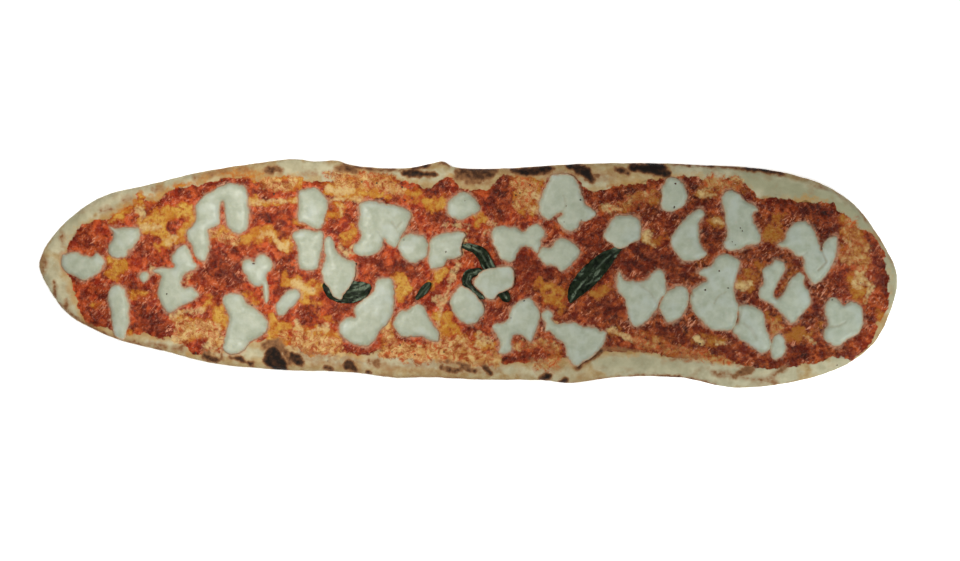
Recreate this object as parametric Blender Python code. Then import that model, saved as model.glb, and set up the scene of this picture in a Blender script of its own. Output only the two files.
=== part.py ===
"""A margherita pizza baked long and flat: one dough base with a low blistered rim, a thin sheet of tomato
sauce, melted smears of mozzarella and five basil leaves. It lies on its flat underside, with its long side
along X.

Sizes are in millimetres, and the meshes are made in metres. Places in the tables are read from straight
above, x to the right and y towards the viewer, and world() turns them into the part's own frame."""

import functools
import math

import bpy
import numpy as np
from mathutils import Vector, noise
from mathutils.bvhtree import BVHTree
from mathutils.geometry import delaunay_2d_cdt

METRES = 0.001
SHARP = math.radians(50)
FINE = 2.0
BLOCK = 500

# Dough: the heights of its rounded side, rim and floor, and how far in from the edge each one is.
UNDERSIDE_INSET = 5.0
SIDE_INSET = 1.2
SIDE_HEIGHT = 1.4
EDGE_HEIGHT = 4.0
CREST_HEIGHT = 11.5
CREST_INSET = 9.0
FLOOR_INSET = 22.0
FLOOR_HEIGHT = 6.0
RIM_RINGS = (1.5, 4.5, 9.5, 16.0)
EDGE_STATION = 12.0
DOUGH_LATTICE = 17.0
RING_ROOM = 0.8
LATTICE_ROOM = 0.42

# Unevenness: how much, the size of its features, and its seed.
CREST_WAVES = (3.0, 42.0, 3.0)
FLOOR_WAVES = (1.4, 65.0, 8.0)
SAUCE_LUMPS = (0.35, 24.0, 12.0)
CHEESE_LUMPS = (0.6, 10.0, 33.0)
CHEESE_WOBBLE = (1.3, 8.0, 21.0)
LEAF_WAVES = (0.25, 9.0, 5.0)
NOISE_SPREAD = 1.5

# Sauce: a thin sheet a gap above the dough, which ends in a low edge.
SAUCE_GAP = 0.3
SAUCE_DEPTH = 1.5
SAUCE_EDGE = 0.5
SAUCE_SLOPE = 6.0
SAUCE_STATION = 10.0

# Mozzarella: domes that flatten out a few millimetres in from their edge.
CHEESE_EDGE = 0.8
CHEESE_RISE = 2.6
CHEESE_RISE_PER_WIDTH = 0.05
CHEESE_SHOULDER = 8.0
CHEESE_STATION = 6.5
CHEESE_LATTICE = 7.5
CHEESE_FOOT_LATTICE = 9.0
CHEESE_GAP = 0.4
BETWEEN_PIECES = 0.5
NEIGHBOUR = 6.0
BED_REACH = 4.5
LEAF_REACH = 10.0
LOOKS = 10
ABOVE = 100.0

# Basil: thin leaves with their edges lifted.
LEAF_THICK = 0.7
LEAF_STATION = 5.0
LEAF_LATTICE = 6.0
LEAF_GAP = 0.4

# The outer edge of the dough, clockwise from its left tip.
EDGE = (
    (38.3, 266), (47, 243), (71, 216.5), (104, 195.5), (150, 184), (205, 170.8), (270, 161), (293, 158.6),
    (315, 161.2), (338, 160.2), (352, 165), (380, 167.6), (410, 167.5), (444, 161), (457, 167.5),
    (500, 168.3), (565, 164.2), (640, 162.6), (700, 164.6), (755, 167.6), (800, 176), (835, 190),
    (862, 212), (886, 247), (897, 272), (896, 296), (882, 332), (865, 352.5), (835, 370.5), (790, 383),
    (742, 388.2), (712, 384.5), (680, 377.8), (630, 376.8), (600, 379.5), (570, 383.4), (540, 380.5),
    (480, 380), (430, 377.7), (395, 378.2), (350, 372.6), (280, 370), (215, 364), (160, 350.5),
    (120, 340.6), (92, 329), (66, 313), (50, 291.5), (41, 275),
)

# The edge of the sauce, clockwise from its left end.
SAUCE = (
    (64, 262), (70, 237), (84, 224), (108, 217), (130, 207), (140, 194), (152, 203), (172, 188), (200, 184),
    (232, 176), (262, 181), (285, 177), (325, 181), (360, 177), (400, 178), (428, 186), (450, 176),
    (465, 188), (488, 189), (502, 176), (540, 179), (570, 174), (588, 188), (604, 188), (640, 181),
    (693, 175), (712, 186), (733, 178), (762, 197), (795, 199), (832, 204), (857, 227), (875, 236),
    (888, 268), (888, 305), (873, 332), (855, 358), (830, 359), (800, 367), (755, 370), (725, 361),
    (680, 358), (640, 354), (606, 352), (585, 362), (555, 360), (520, 363), (495, 361), (465, 354),
    (430, 350), (385, 351), (362, 357), (340, 352), (310, 356), (280, 342), (250, 344), (222, 350),
    (196, 357), (180, 343), (140, 335), (95, 327), (80, 312), (71, 282),
)

# Blisters and swells of the dough: x, y, radius, rise.
SWELLS = (
    (274, 360, 15, 4.5), (213, 356, 14, 2.5), (297, 361, 11, 2.5), (350, 366, 13, 2), (488, 370, 12, 2.5),
    (544, 376, 13, 2.5), (566, 378, 11, 1.5), (748, 377, 20, 2), (476, 176, 19, 3), (418, 172, 17, 2.5),
    (348, 169, 13, 2), (530, 171, 17, 2), (580, 172, 15, 2.5), (651, 171, 20, 3.5), (757, 174, 20, 1.5),
    (272, 171, 15, 2), (60, 290, 14, 2), (108, 208, 14, 1.5), (200, 330, 26, 2), (370, 188, 28, 1.5),
    (527, 196, 22, 1.5), (715, 188, 24, 1.5), (284, 330, 22, 1.5), (850, 250, 30, 1.5), (710, 342, 24, 1.5),
)

# Melted mozzarella: each piece is one to three smears through (x, y, half width).
CHEESE = (
    [[(72, 262, 8), (85, 265, 12), (93, 265, 10)]],
    [[(118, 234, 9), (128, 236, 10), (120, 247, 10.5)]],
    [[(117, 293, 8), (119, 305, 10.5), (121, 320, 9.5), (119, 331, 6)]],
    [
        [(213, 196, 9), (205, 211, 11.5), (204, 229, 10), (201, 246, 8), (202, 256, 5.5)],
        [(234, 191, 10), (236, 205, 12.5), (237, 222, 10.5)],
        [(214, 195, 8), (232, 192, 9)],
    ],
    [
        [(186, 250, 6), (183, 262, 9.5), (175, 275, 12), (170, 288, 12.5), (170, 303, 10)],
        [(180, 292, 8), (192, 292, 7.5)],
    ],
    [[(254, 266, 8.5), (261, 264, 8), (257, 276, 9.5), (264, 287, 5), (264, 293, 3)]],
    [[(238, 303, 9.5), (240, 315, 14), (247, 326, 18.5), (237, 340, 13.5), (231, 350, 8.5)]],
    [[(290, 294, 7.5), (285, 302, 9), (281, 309, 5.5)]],
    [[(309, 197, 10), (313, 206, 13), (315, 217, 9.5)]],
    [[(307, 242, 11), (312, 247, 12), (311, 259, 10.5)]],
    [[(329, 246, 4.5), (331, 256, 8.5), (338, 269, 15.5), (339, 281, 14), (340, 291, 7)]],
    [
        [(370, 214, 11.5), (371, 228, 14), (368, 242, 11), (365, 250, 6)],
        [(396, 216, 12), (397, 226, 12.5), (391, 237, 8)],
        [(376, 217, 11), (392, 218, 11)],
    ],
    [[(412, 243, 9.5), (414, 250, 11.5), (413, 255, 8.5)]],
    [[(457, 239, 6.5), (447, 246, 10.5), (439, 256, 10), (435, 262, 6)]],
    [[(463, 202, 10), (462, 208, 12.5)]],
    [
        [(384, 287, 7), (382, 298, 10), (375, 312, 14), (364, 325, 15)],
        [(349, 331, 11.5), (362, 332, 12)],
    ],
    [[(403, 318, 10.5), (412, 322, 14), (423, 331, 10.5), (431, 338, 5)]],
    [[(486, 283, 12), (496, 283, 12.5), (504, 281, 9.5)]],
    [[(464, 298, 11), (467, 306, 14.5), (467, 315, 11)]],
    [
        [(500, 238, 10), (507, 242, 13), (507, 254, 9)],
        [(534, 234, 8), (537, 241, 6.5), (538, 246, 4)],
        [(512, 240, 7.5), (532, 237, 7)],
    ],
    [[(562, 253, 13.5), (563, 260, 9.5)], [(544, 254, 5.5), (556, 256, 9)]],
    [
        [(563, 187, 10.5), (562, 196, 15), (552, 208, 9), (549, 213, 6)],
        [(568, 197, 13), (573, 210, 13), (571, 221, 7)],
        [(580, 208, 9), (588, 212, 5)],
    ],
    [[(624, 229, 12.5), (621, 235, 15.5), (616, 241, 9)]],
    [
        [(529, 307, 5), (525, 317, 11.5), (523, 326, 13), (528, 338, 7)],
        [(502, 328, 6.5), (503, 340, 6.5), (502, 350, 3.5)],
        [(503, 327, 6), (515, 324, 7)],
    ],
    [
        [(548, 320, 5), (557, 327, 6.5), (568, 333, 9)],
        [(580, 334, 11), (591, 336, 13), (583, 348, 12), (579, 358, 5)],
        [(590, 337, 11), (599, 338, 8)],
    ],
    [[(673, 187, 9), (673, 195, 11.5), (672, 204, 7)]],
    [[(697, 212, 4.5), (691, 224, 9.5), (687, 238, 14), (688, 249, 13)]],
    [
        [(656, 276, 5), (652, 286, 9.5), (645, 299, 13), (637, 314, 10), (634, 323, 6)],
        [(624, 283, 4.5), (634, 288, 7), (645, 290, 8)],
    ],
    [[(680, 294, 8), (676, 305, 12), (670, 318, 7)]],
    [
        [(727, 262, 8.5), (721, 272, 13), (709, 286, 14), (704, 301, 13), (701, 313, 7)],
        [(708, 292, 13), (721, 308, 13), (724, 321, 11.5), (724, 328, 7)],
    ],
    [[(745, 311, 8), (749, 322, 12), (753, 336, 13.5), (757, 347, 8.5)]],
    [[(777, 340, 6), (778, 349, 7), (777, 355, 5)]],
    [[(734, 202, 10), (739, 215, 14), (744, 231, 15.5), (741, 239, 11)]],
    [
        [(776, 266, 7), (770, 279, 8.5), (767, 291, 7.5), (778, 301, 8), (789, 310, 12)],
        [(801, 281, 6.5), (800, 294, 10), (795, 307, 13), (794, 314, 9)],
    ],
    [
        [(800, 230, 10), (796, 241, 11.5), (806, 252, 11), (814, 265, 10), (817, 277, 7)],
        [(833, 242, 4.5), (830, 254, 7), (825, 266, 9)],
    ],
    [[(834, 304, 7.5), (839, 316, 12), (843, 329, 15), (837, 338, 9.5)], [(851, 309, 7), (849, 322, 11.5)]],
    [[(141, 278, 4), (145, 276, 4.5)]],
)

# Basil leaves: midrib through (x, y, half width), and how far the edges lift.
BASIL = (
    ([(325, 285, 3), (334, 292, 8.5), (349, 292, 11.5), (361, 290, 8.5), (370, 286, 2)], 0.3),
    ([(431, 281, 1.5), (425, 289, 4.5), (416, 299, 2)], 1.0),
    ([(462, 246, 2.5), (472, 248, 4.5), (481, 253, 6), (487, 264, 6.5), (497, 284, 6), (506, 298, 5)], 0.6),
    ([(479, 271, 3.5), (469, 274, 5), (466, 283, 4.5), (473, 291, 4), (482, 298, 2.5)], 0.8),
    ([(570, 302, 2), (576, 290, 8), (590, 275, 10.5), (604, 261, 8.5), (614, 252, 4.5), (621, 248, 2)], 1.5),
)


def clear_scene():
    for thing in list(bpy.data.objects):
        bpy.data.objects.remove(thing, do_unlink=True)


def material(name, colour, roughness):
    made = bpy.data.materials.new(name)
    made.use_nodes = True
    shader = made.node_tree.nodes["Principled BSDF"]
    shader.inputs["Base Color"].default_value = (*colour, 1.0)
    shader.inputs["Roughness"].default_value = roughness
    shader.inputs["Metallic"].default_value = 0.0
    return made


# Plan geometry


def spaced(line, spacing, closed):
    """The line with a point about every spacing along it."""
    line = np.asarray(line, float)
    if closed:
        line = np.vstack([line, line[:1]])
    along = np.concatenate([[0.0], np.cumsum(np.linalg.norm(np.diff(line[:, :2], axis=0), axis=1))])
    count = max(3, round(along[-1] / spacing))
    places = np.linspace(0.0, along[-1], count + 1)
    if closed:
        places = places[:-1]
    return np.column_stack([np.interp(places, along, column) for column in line.T])


def smooth_line(points, closed, per_span=12):
    """A smooth curve through the points, of any number of columns, by Catmull and Rom's formula."""
    points = np.asarray(points, float)
    if closed:
        padded = np.vstack([points[-1:], points, points[:2]])
    else:
        padded = np.vstack([2 * points[0] - points[1], points, 2 * points[-1] - points[-2]])
    part = np.linspace(0.0, 1.0, per_span, endpoint=False)[:, None]
    spans = []
    for a, b, c, d in zip(padded, padded[1:], padded[2:], padded[3:]):
        curve = 2 * b + (c - a) * part + (2 * a - 5 * b + 4 * c - d) * part**2
        curve += (3 * b - a - 3 * c + d) * part**3
        spans.append(curve / 2)
    if not closed:
        spans.append(points[-1:])
    return np.vstack(spans)


def distance_to(line, points):
    """How far each point is from the nearest point of a finely spaced line."""
    points = np.asarray(points, float)
    found = np.empty(len(points))
    for start in range(0, len(points), BLOCK):
        block = points[start : start + BLOCK, None, :] - line[None, :, :2]
        found[start : start + BLOCK] = np.sqrt((block**2).sum(axis=2)).min(axis=1)
    return found


def is_inside(line, points):
    """Whether each point lies inside the closed line, by counting crossings to its right."""
    start = line
    end = np.roll(line, -1, axis=0)
    found = []
    for x, y in points:
        spans = (start[:, 1] > y) != (end[:, 1] > y)
        a, b = start[spans], end[spans]
        crossing = a[:, 0] + (y - a[:, 1]) / (b[:, 1] - a[:, 1]) * (b[:, 0] - a[:, 0])
        found.append(np.count_nonzero(crossing > x) % 2 == 1)
    return np.array(found, bool)


def lattice(low, high, spacing):
    """Points in staggered rows that fill a rectangle."""
    rows = []
    row_step = spacing * math.sqrt(3) / 2
    for row, y in enumerate(np.arange(low[1], high[1] + row_step, row_step)):
        start = low[0] + (row % 2) * spacing / 2
        rows.append([(x, y) for x in np.arange(start, high[0] + spacing, spacing)])
    return np.array([point for row in rows for point in row])


def triangles_in(border, inside, rings=()):
    """Triangles, anticlockwise from above, that fill the closed border through the inside points.
    Each of the rings is a closed run of the inside points that the triangles' edges follow."""
    points = np.vstack([border, inside]) if len(inside) else np.asarray(border)
    edges = [(i, (i + 1) % len(border)) for i in range(len(border))]
    for first, count in rings:
        edges += [(first + i, first + (i + 1) % count) for i in range(count)]
    plan = [Vector((x, y)) for x, y in points]
    _, _, faces, sources, _, _ = delaunay_2d_cdt(plan, edges, [], 1, 1e-5)
    found = []
    for face in faces:
        a, b, c = (sources[corner][0] for corner in face)
        turn = np.cross(points[b] - points[a], points[c] - points[a])
        found.append((a, b, c) if turn > 0 else (a, c, b))
    return points, found


def zero_line(field, low, high, step=3.0):
    """The longest closed line where the field is zero, found on a grid of triangles."""
    xs = np.arange(low[0], high[0] + step, step)
    ys = np.arange(low[1], high[1] + step, step)
    grid = np.array([(x, y) for y in ys for x in xs])
    value = field(grid)
    value[value == 0] = 1e-9
    links = {}
    wide = len(xs)
    for row in range(len(ys) - 1):
        for column in range(wide - 1):
            a = row * wide + column
            for corners in ((a, a + 1, a + wide), (a + 1, a + wide + 1, a + wide)):
                ends = [(min(i, j), max(i, j)) for i, j in zip(corners, corners[1:] + corners[:1])]
                cut = [end for end in ends if (value[end[0]] < 0) != (value[end[1]] < 0)]
                if cut:
                    links.setdefault(cut[0], []).append(cut[1])
                    links.setdefault(cut[1], []).append(cut[0])
    lines = []
    while links:
        here = next(iter(links))
        run = []
        while here in links:
            run.append(here)
            onward = links.pop(here)
            here = onward[0] if onward[0] in links else onward[1]
        lines.append(run)
    longest = max(lines, key=len)
    line = []
    for i, j in longest:
        share = value[i] / (value[i] - value[j])
        line.append(grid[i] + share * (grid[j] - grid[i]))
    return np.array(line)


def uneven(points, waves):
    """Smooth uneven values at the points, for one of the rows under Unevenness."""
    amount, size, seed = waves
    values = [noise.noise(Vector((x / size, y / size, seed))) for x, y in points]
    return amount * NOISE_SPREAD * np.array(values)


# The part's frame


def plan_middle():
    edge = smooth_line(EDGE, closed=True)
    return (edge.min(axis=0) + edge.max(axis=0)) / 2


MIDDLE = plan_middle()


def world(points):
    """Places of the tables, as X to the right and Y away from the viewer, about the middle of the pizza."""
    points = np.array(points, float)
    points[:, 0] -= MIDDLE[0]
    points[:, 1] = MIDDLE[1] - points[:, 1]
    return points


FINE_EDGE = spaced(smooth_line(world(EDGE), closed=True), FINE, closed=True)
SWELL_PLACES = world([swell[:2] for swell in SWELLS])


# Heights


def dough_height(points):
    """The top of the dough: a rounded rim, its slope down to the floor, and swells on both."""
    inset = distance_to(FINE_EDGE, points)
    crest = CREST_HEIGHT + uneven(points, CREST_WAVES)
    floor = FLOOR_HEIGHT + uneven(points, FLOOR_WAVES)
    rise = np.sqrt(1 - (1 - np.clip(inset / CREST_INSET, 0, 1)) ** 2)
    outer = EDGE_HEIGHT + (crest - EDGE_HEIGHT) * rise
    share = np.clip((inset - CREST_INSET) / (FLOOR_INSET - CREST_INSET), 0, 1)
    share = share * share * (3 - 2 * share)
    height = outer * (1 - share) + floor * share
    for (_, _, radius, lift), place in zip(SWELLS, SWELL_PLACES):
        near = np.linalg.norm(points - place, axis=1) / radius
        height += lift * np.exp(-2 * near**2) * np.clip(inset / CREST_INSET, 0, 1)
    return height


def surface_of(mesh_points, faces):
    return BVHTree.FromPolygons([Vector(point) for point in mesh_points], faces)


def top_of(carriers, points, reach):
    """The highest point of the carriers within reach of each point, looked for in three rings around it."""
    around = [(0.0, 0.0)]
    for ring in (0.4, 0.7, 1.0):
        for step in range(LOOKS):
            turn = math.tau * step / LOOKS
            around.append((ring * reach * math.cos(turn), ring * reach * math.sin(turn)))
    down = Vector((0, 0, -1))
    heights = []
    for x, y in points:
        starts = [Vector((x + dx, y + dy, ABOVE)) for dx, dy in around]
        hits = [carrier.ray_cast(start, down)[0] for start in starts for carrier in carriers]
        heights.append(max([hit.z for hit in hits if hit is not None], default=0.0))
    return np.array(heights)


# Solids


def add_solid(name, points, faces, look):
    mesh = bpy.data.meshes.new(name)
    mesh.from_pydata((np.asarray(points) * METRES).tolist(), [], faces)
    mesh.materials.append(look)
    mesh.shade_smooth()
    mesh.set_sharp_from_angle(angle=SHARP)
    made = bpy.data.objects.new(name, mesh)
    bpy.context.scene.collection.objects.link(made)
    return made


def layer(top_plan, top_faces, top_heights, foot_plan, foot_faces, foot_heights, border):
    """A closed layer between two surfaces that share their first points, the border."""
    top = np.column_stack([top_plan, top_heights])
    foot = np.column_stack([foot_plan, foot_heights])
    shift = len(top)
    faces = list(top_faces)
    faces += [(a + shift, c + shift, b + shift) for a, b, c in foot_faces]
    for i in range(border):
        j = (i + 1) % border
        faces += [(i, i + shift, j + shift), (i, j + shift, j)]
    return np.vstack([top, foot]), faces


def anticlockwise(line):
    following = np.roll(line, -1, axis=0)
    area = (line[:, 0] * following[:, 1] - following[:, 0] * line[:, 1]).sum()
    return line if area > 0 else line[::-1].copy()


def inset_ring(line, inset):
    """The anticlockwise line moved inwards along its normals."""
    along = np.roll(line, -1, axis=0) - np.roll(line, 1, axis=0)
    along /= np.linalg.norm(along, axis=1)[:, None]
    return line + inset * np.column_stack([-along[:, 1], along[:, 0]])


def dough_and_sauce(dough_look, sauce_look):
    """The dough and, on the same triangles a gap above it, the sauce. Returns both top surfaces."""
    edge = anticlockwise(spaced(smooth_line(world(EDGE), closed=True), EDGE_STATION, closed=True))
    shore = anticlockwise(spaced(smooth_line(world(SAUCE), closed=True), SAUCE_STATION, closed=True))
    inside = np.vstack([shore, dough_points(edge, shore)])
    plan, faces = triangles_in(edge, inside, rings=[(len(edge), len(shore))])
    heights = dough_height(plan)
    dough, solid = dough_solid(edge, plan, faces, heights)
    add_solid("crust", dough, solid, dough_look)
    sauce, sauce_solid = sauce_layer(plan, faces, heights, len(edge), shore)
    add_solid("sauce", sauce, sauce_solid, sauce_look)
    return [surface_of(dough, solid), surface_of(sauce, sauce_solid)]


def dough_points(edge, shore):
    """Points inside the edge: rings along the rim and a lattice on the floor, clear of the sauce's shore."""
    loose = []
    for inset in RIM_RINGS:
        ring = inset_ring(edge, inset)
        loose.append(ring[distance_to(FINE_EDGE, ring) > RING_ROOM * inset])
    floor = lattice(edge.min(axis=0), edge.max(axis=0), DOUGH_LATTICE)
    floor = floor[is_inside(FINE_EDGE, floor)]
    loose.append(floor[distance_to(FINE_EDGE, floor) > RIM_RINGS[-1] + LATTICE_ROOM * DOUGH_LATTICE])
    loose = np.vstack(loose)
    return loose[distance_to(spaced(shore, FINE, closed=True), loose) > LATTICE_ROOM * SAUCE_STATION]


def dough_solid(edge, plan, faces, heights):
    """The dough's top, its rounded side and its flat underside."""
    side = inset_ring(edge, SIDE_INSET)
    foot = inset_ring(edge, UNDERSIDE_INSET)
    foot_plan, foot_faces = triangles_in(foot, np.empty((0, 2)))
    count = len(edge)
    points = [np.column_stack([plan, heights])]
    points.append(np.column_stack([side, np.full(count, SIDE_HEIGHT)]))
    points.append(np.column_stack([foot_plan, np.zeros(count)]))
    side_start = len(plan)
    foot_start = side_start + count
    solid = list(faces)
    for upper, lower in ((0, side_start), (side_start, foot_start)):
        for i in range(count):
            j = (i + 1) % count
            solid += [(upper + i, lower + i, lower + j), (upper + i, lower + j, upper + j)]
    solid += [(foot_start + a, foot_start + c, foot_start + b) for a, b, c in foot_faces]
    return np.vstack(points), solid


def sauce_layer(plan, faces, heights, first, shore):
    """The sauce, on the dough's own triangles within the shore, whose points start at first."""
    middles = np.array([plan[list(face)].mean(axis=0) for face in faces])
    covered = [face for face, wet in zip(faces, is_inside(shore, middles)) if wet]
    on_shore = list(range(first, first + len(shore)))
    order = on_shore + sorted({corner for face in covered for corner in face} - set(on_shore))
    number = {old: new for new, old in enumerate(order)}
    wet_faces = [tuple(number[corner] for corner in face) for face in covered]
    wet_plan = plan[order]
    below = heights[order] + SAUCE_GAP
    share = np.clip(distance_to(spaced(shore, FINE, closed=True), wet_plan) / SAUCE_SLOPE, 0, 1)
    depth = SAUCE_EDGE + share * (SAUCE_DEPTH - SAUCE_EDGE + uneven(wet_plan, SAUCE_LUMPS))
    return layer(wet_plan, wet_faces, below + depth, wet_plan, wet_faces, below, len(shore))


def smear(run):
    """A smooth row of discs along a run of (x, y, half width)."""
    places = world([place[:2] for place in run])
    widths = [[place[2]] for place in run]
    return spaced(smooth_line(np.hstack([places, widths]), closed=False), FINE, closed=False)


def depth_in(discs, points):
    """Negative inside the row of discs, and 0 on its edge."""
    found = np.empty(len(points))
    for start in range(0, len(points), BLOCK):
        block = points[start : start + BLOCK, None, :] - discs[None, :, :2]
        found[start : start + BLOCK] = (np.sqrt((block**2).sum(axis=2)) - discs[:, 2]).min(axis=1)
    return found


def piece_plan(field, discs, station, spacings):
    """The border of a field, and for each spacing the points and triangles that fill it."""
    low = (discs[:, :2] - discs[:, 2:]).min(axis=0) - NEIGHBOUR
    high = (discs[:, :2] + discs[:, 2:]).max(axis=0) + NEIGHBOUR
    border = anticlockwise(spaced(zero_line(field, low, high), station, closed=True))
    fills = []
    for spacing in spacings:
        inside = lattice(low, high, spacing)
        inside = inside[field(inside) < -LATTICE_ROOM * spacing]
        fills.append(triangles_in(border, inside))
    return border, fills


def rest_height(bed, leaves, points):
    """Where cheese rests: on the dough and sauce, and clear of a leaf well before it reaches the leaf."""
    on_bed = top_of(bed, points, BED_REACH)
    on_leaves = top_of(leaves, points, LEAF_REACH)
    return np.maximum(on_bed, on_leaves) + CHEESE_GAP


def cheese_edge(discs, others, points):
    """Negative inside a piece of cheese, whose uneven edge stops half-way to each of its neighbours."""
    own = depth_in(discs, points)
    edge = own + uneven(points, CHEESE_WOBBLE)
    for rest in others:
        edge = np.maximum(edge, (own - depth_in(rest, points)) / 2 + BETWEEN_PIECES)
    return edge


def mozzarella(bed, leaves, look):
    smears = [np.vstack([smear(run) for run in runs]) for runs in CHEESE]
    for index, discs in enumerate(smears):
        rest = smears[:index] + smears[index + 1 :]
        others = [other for other in rest if (depth_in(other, discs[:, :2]) - discs[:, 2]).min() < NEIGHBOUR]
        field = functools.partial(cheese_edge, discs, others)
        border, fills = piece_plan(field, discs, CHEESE_STATION, (CHEESE_LATTICE, CHEESE_FOOT_LATTICE))
        (top_plan, top_faces), (foot_plan, foot_faces) = fills
        inward = np.clip(distance_to(spaced(border, FINE, closed=True), top_plan) / CHEESE_SHOULDER, 0, 1)
        foot = rest_height(bed, leaves, foot_plan)
        base = rest_height(bed, leaves, top_plan)
        rise = CHEESE_RISE + CHEESE_RISE_PER_WIDTH * discs[:, 2].max()
        top = base + CHEESE_EDGE + rise * np.sqrt(1 - (1 - inward) ** 2)
        top += inward * uneven(top_plan, CHEESE_LUMPS)
        points, faces = layer(top_plan, top_faces, top, foot_plan, foot_faces, foot, len(border))
        add_solid(f"mozzarella_{index + 1:02d}", points, faces, look)


def basil(bed, look):
    """The leaves lie on the sauce. Returns their surfaces, on which some of the cheese lies."""
    leaves = []
    for index, (run, lift) in enumerate(BASIL):
        discs = smear(run)
        field = functools.partial(depth_in, discs)
        border, fills = piece_plan(field, discs, LEAF_STATION, (LEAF_LATTICE,))
        plan, faces = fills[0]
        curl = np.clip(1 + depth_in(discs, plan) / discs[:, 2].max(), 0, 1) ** 2
        wave = LEAF_WAVES[0] + uneven(plan, LEAF_WAVES)
        below = top_of(bed + leaves, plan, BED_REACH) + LEAF_GAP + lift * (curl + wave)
        points, solid = layer(plan, faces, below + LEAF_THICK, plan, faces, below, len(border))
        add_solid(f"basil_{index + 1}", points, solid, look)
        leaves.append(surface_of(points, solid))
    return leaves


def main():
    clear_scene()
    dough_look = material("baked dough", (0.48, 0.37, 0.23), 0.75)
    sauce_look = material("tomato sauce", (0.36, 0.075, 0.02), 0.4)
    cheese_look = material("melted mozzarella", (0.58, 0.56, 0.38), 0.45)
    leaf_look = material("baked basil", (0.03, 0.055, 0.025), 0.5)
    bed = dough_and_sauce(dough_look, sauce_look)
    leaves = basil(bed, leaf_look)
    mozzarella(bed, leaves, cheese_look)


main()
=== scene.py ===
"""The looks of a long margherita pizza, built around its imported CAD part.

Lengths are in millimetres in the plan work and become metres in the meshes. Places in the tables are read
from straight above, x to the right and y towards the viewer, as the CAD's own tables are, and place() turns
them into the part's frame."""

import functools
import math

import bpy
import numpy as np
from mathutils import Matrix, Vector
from mathutils.bvhtree import BVHTree
from mathutils.geometry import delaunay_2d_cdt
from mathutils.kdtree import KDTree


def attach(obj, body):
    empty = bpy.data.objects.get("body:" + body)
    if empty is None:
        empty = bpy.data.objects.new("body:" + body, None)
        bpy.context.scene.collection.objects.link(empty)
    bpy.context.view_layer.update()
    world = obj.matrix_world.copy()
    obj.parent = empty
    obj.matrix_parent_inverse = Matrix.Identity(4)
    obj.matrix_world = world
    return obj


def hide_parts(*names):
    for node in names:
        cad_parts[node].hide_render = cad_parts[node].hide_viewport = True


MM = 0.001
MIDDLE = (468.05, 273.41)

# Camera. Its frame is as wide as this at the height of the toppings.
FRAME_MIDDLE = (480.0, 280.5)
FRAME_WIDE = 960.0
TOPPING_HEIGHT = 8.0
LENS = 85.0
SENSOR = 36.0
CAMERA_REACH = 100.0

# Light, in metres and watts: name, place, the spot it faces, size, power and colour.
LIGHTS = (
    ("key", (-0.21, 0.03, 0.47), (-0.21, 0.03, 0.0), 0.10, 1.9, (1.0, 0.97, 0.89)),
    ("fill", (0.50, -0.18, 0.38), (0.40, -0.03, 0.0), 0.10, 1.1, (0.94, 1.0, 1.0)),
    ("below", (0.0, 0.0, -0.9), (0.0, 0.0, 0.0), 0.8, 4.5, (1.0, 0.98, 0.95)),
)
SKY = (0.93, 1.0, 1.02)
SKY_STRENGTH = 0.30

# Floor, its size in metres. It is a hair above the flat underside, as the two must not coincide.
FLOOR_SIZE = 24.0
FLOOR_RISE = 0.05
FLOOR_GLOW = 0.65

# How far from the middle the noise in the plan reaches.
REACH = 470.0

# Dough. Its side is a run of (inset, height), from below the rim to the flat foot.
CREST_INSET = 9.0
EDGE_HEIGHT = 4.0
DOUGH_STATION = 1.4
DOUGH_RINGS = (0.35, 0.9, 1.7)
DOUGH_PITCH = 1.4
DOUGH_SIDE = ((0.15, 3.2), (0.5, 2.2), (1.2, 1.35), (2.2, 0.75), (3.5, 0.3), (5.0, 0.0))
UNDER_PITCH = 7.0
DIP = 0.6

# Dough under the sauce: from how far inside the sauce's shore it is coarse, and how much lower it is there.
HIDDEN_INSET = 9.0
HIDDEN_PITCH = 4.5
HIDDEN_SINK = 0.9

# Sauce.
SAUCE_STATION = 1.6
SAUCE_PITCH = 1.4
SAUCE_FOOT_PITCH = 7.0
SAUCE_DEPTH = 1.0
SAUCE_UNDER = 0.6
SHORE_SLOPE = 5.0
STRAND_SLANT = 0.9
# How many times as long as wide the strands of pulp and painted glints are.
PULP_GLINT_LENGTH = 2.6
RIPPLE_LENGTH = 2.2

# Cheese.
CHEESE_STATION = 0.9
CHEESE_PITCH = 1.0
CHEESE_FOOT_PITCH = 3.0
CHEESE_SHOULDER = 5.5
CHEESE_SINK = 0.35
CHEESE_MARGIN = 4.0
CHEESE_THICKNESS = (1.5, 4.2)

# Basil.
LEAF_STATION = 0.8
LEAF_PITCH = 0.85
LEAF_THICK = 0.45
RIB_STEP = 0.5

# Burnt specks. Their rings are (height, width as a share of the speck's).
SPECK_RINGS = ((-0.35, 0.75), (0.05, 1.0), (0.3, 0.6))
SPECK_SIDES = 8
SPECK_SINK = 0.4
SPECK_HEIGHT = 0.42
SPECK_SEED = 500

# Colours, in linear light. A pair is what shows in between and in the patches.
GOLDEN_DOUGH = ((0.38, 0.24, 0.10), (0.50, 0.37, 0.19))
FLOURED_DOUGH = ((0.42, 0.37, 0.235), (0.56, 0.50, 0.33))
DUSTED_DOUGH = (0.58, 0.53, 0.38)
# Painted shade on parts of the rim.
SHADED_DOUGH = (0.29, 0.285, 0.17)
TOASTED_DOUGH = (0.34, 0.175, 0.075)
STAINED_DOUGH = (0.47, 0.235, 0.055)
STRAW_DOUGH = ((0.50, 0.21, 0.045), (0.68, 0.46, 0.19))
STRAW_DARKER_RIGHT = (0.34, 0.14, 0.035)
UNDERSIDE = ((0.50, 0.39, 0.24), (0.40, 0.27, 0.14))
UNDERSIDE_SPOT = (0.15, 0.075, 0.035)
RED_SAUCE = ((0.28, 0.022, 0.006), (0.62, 0.100, 0.024))
BROWN_SAUCE = ((0.07, 0.010, 0.003), (0.37, 0.080, 0.018))
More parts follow.
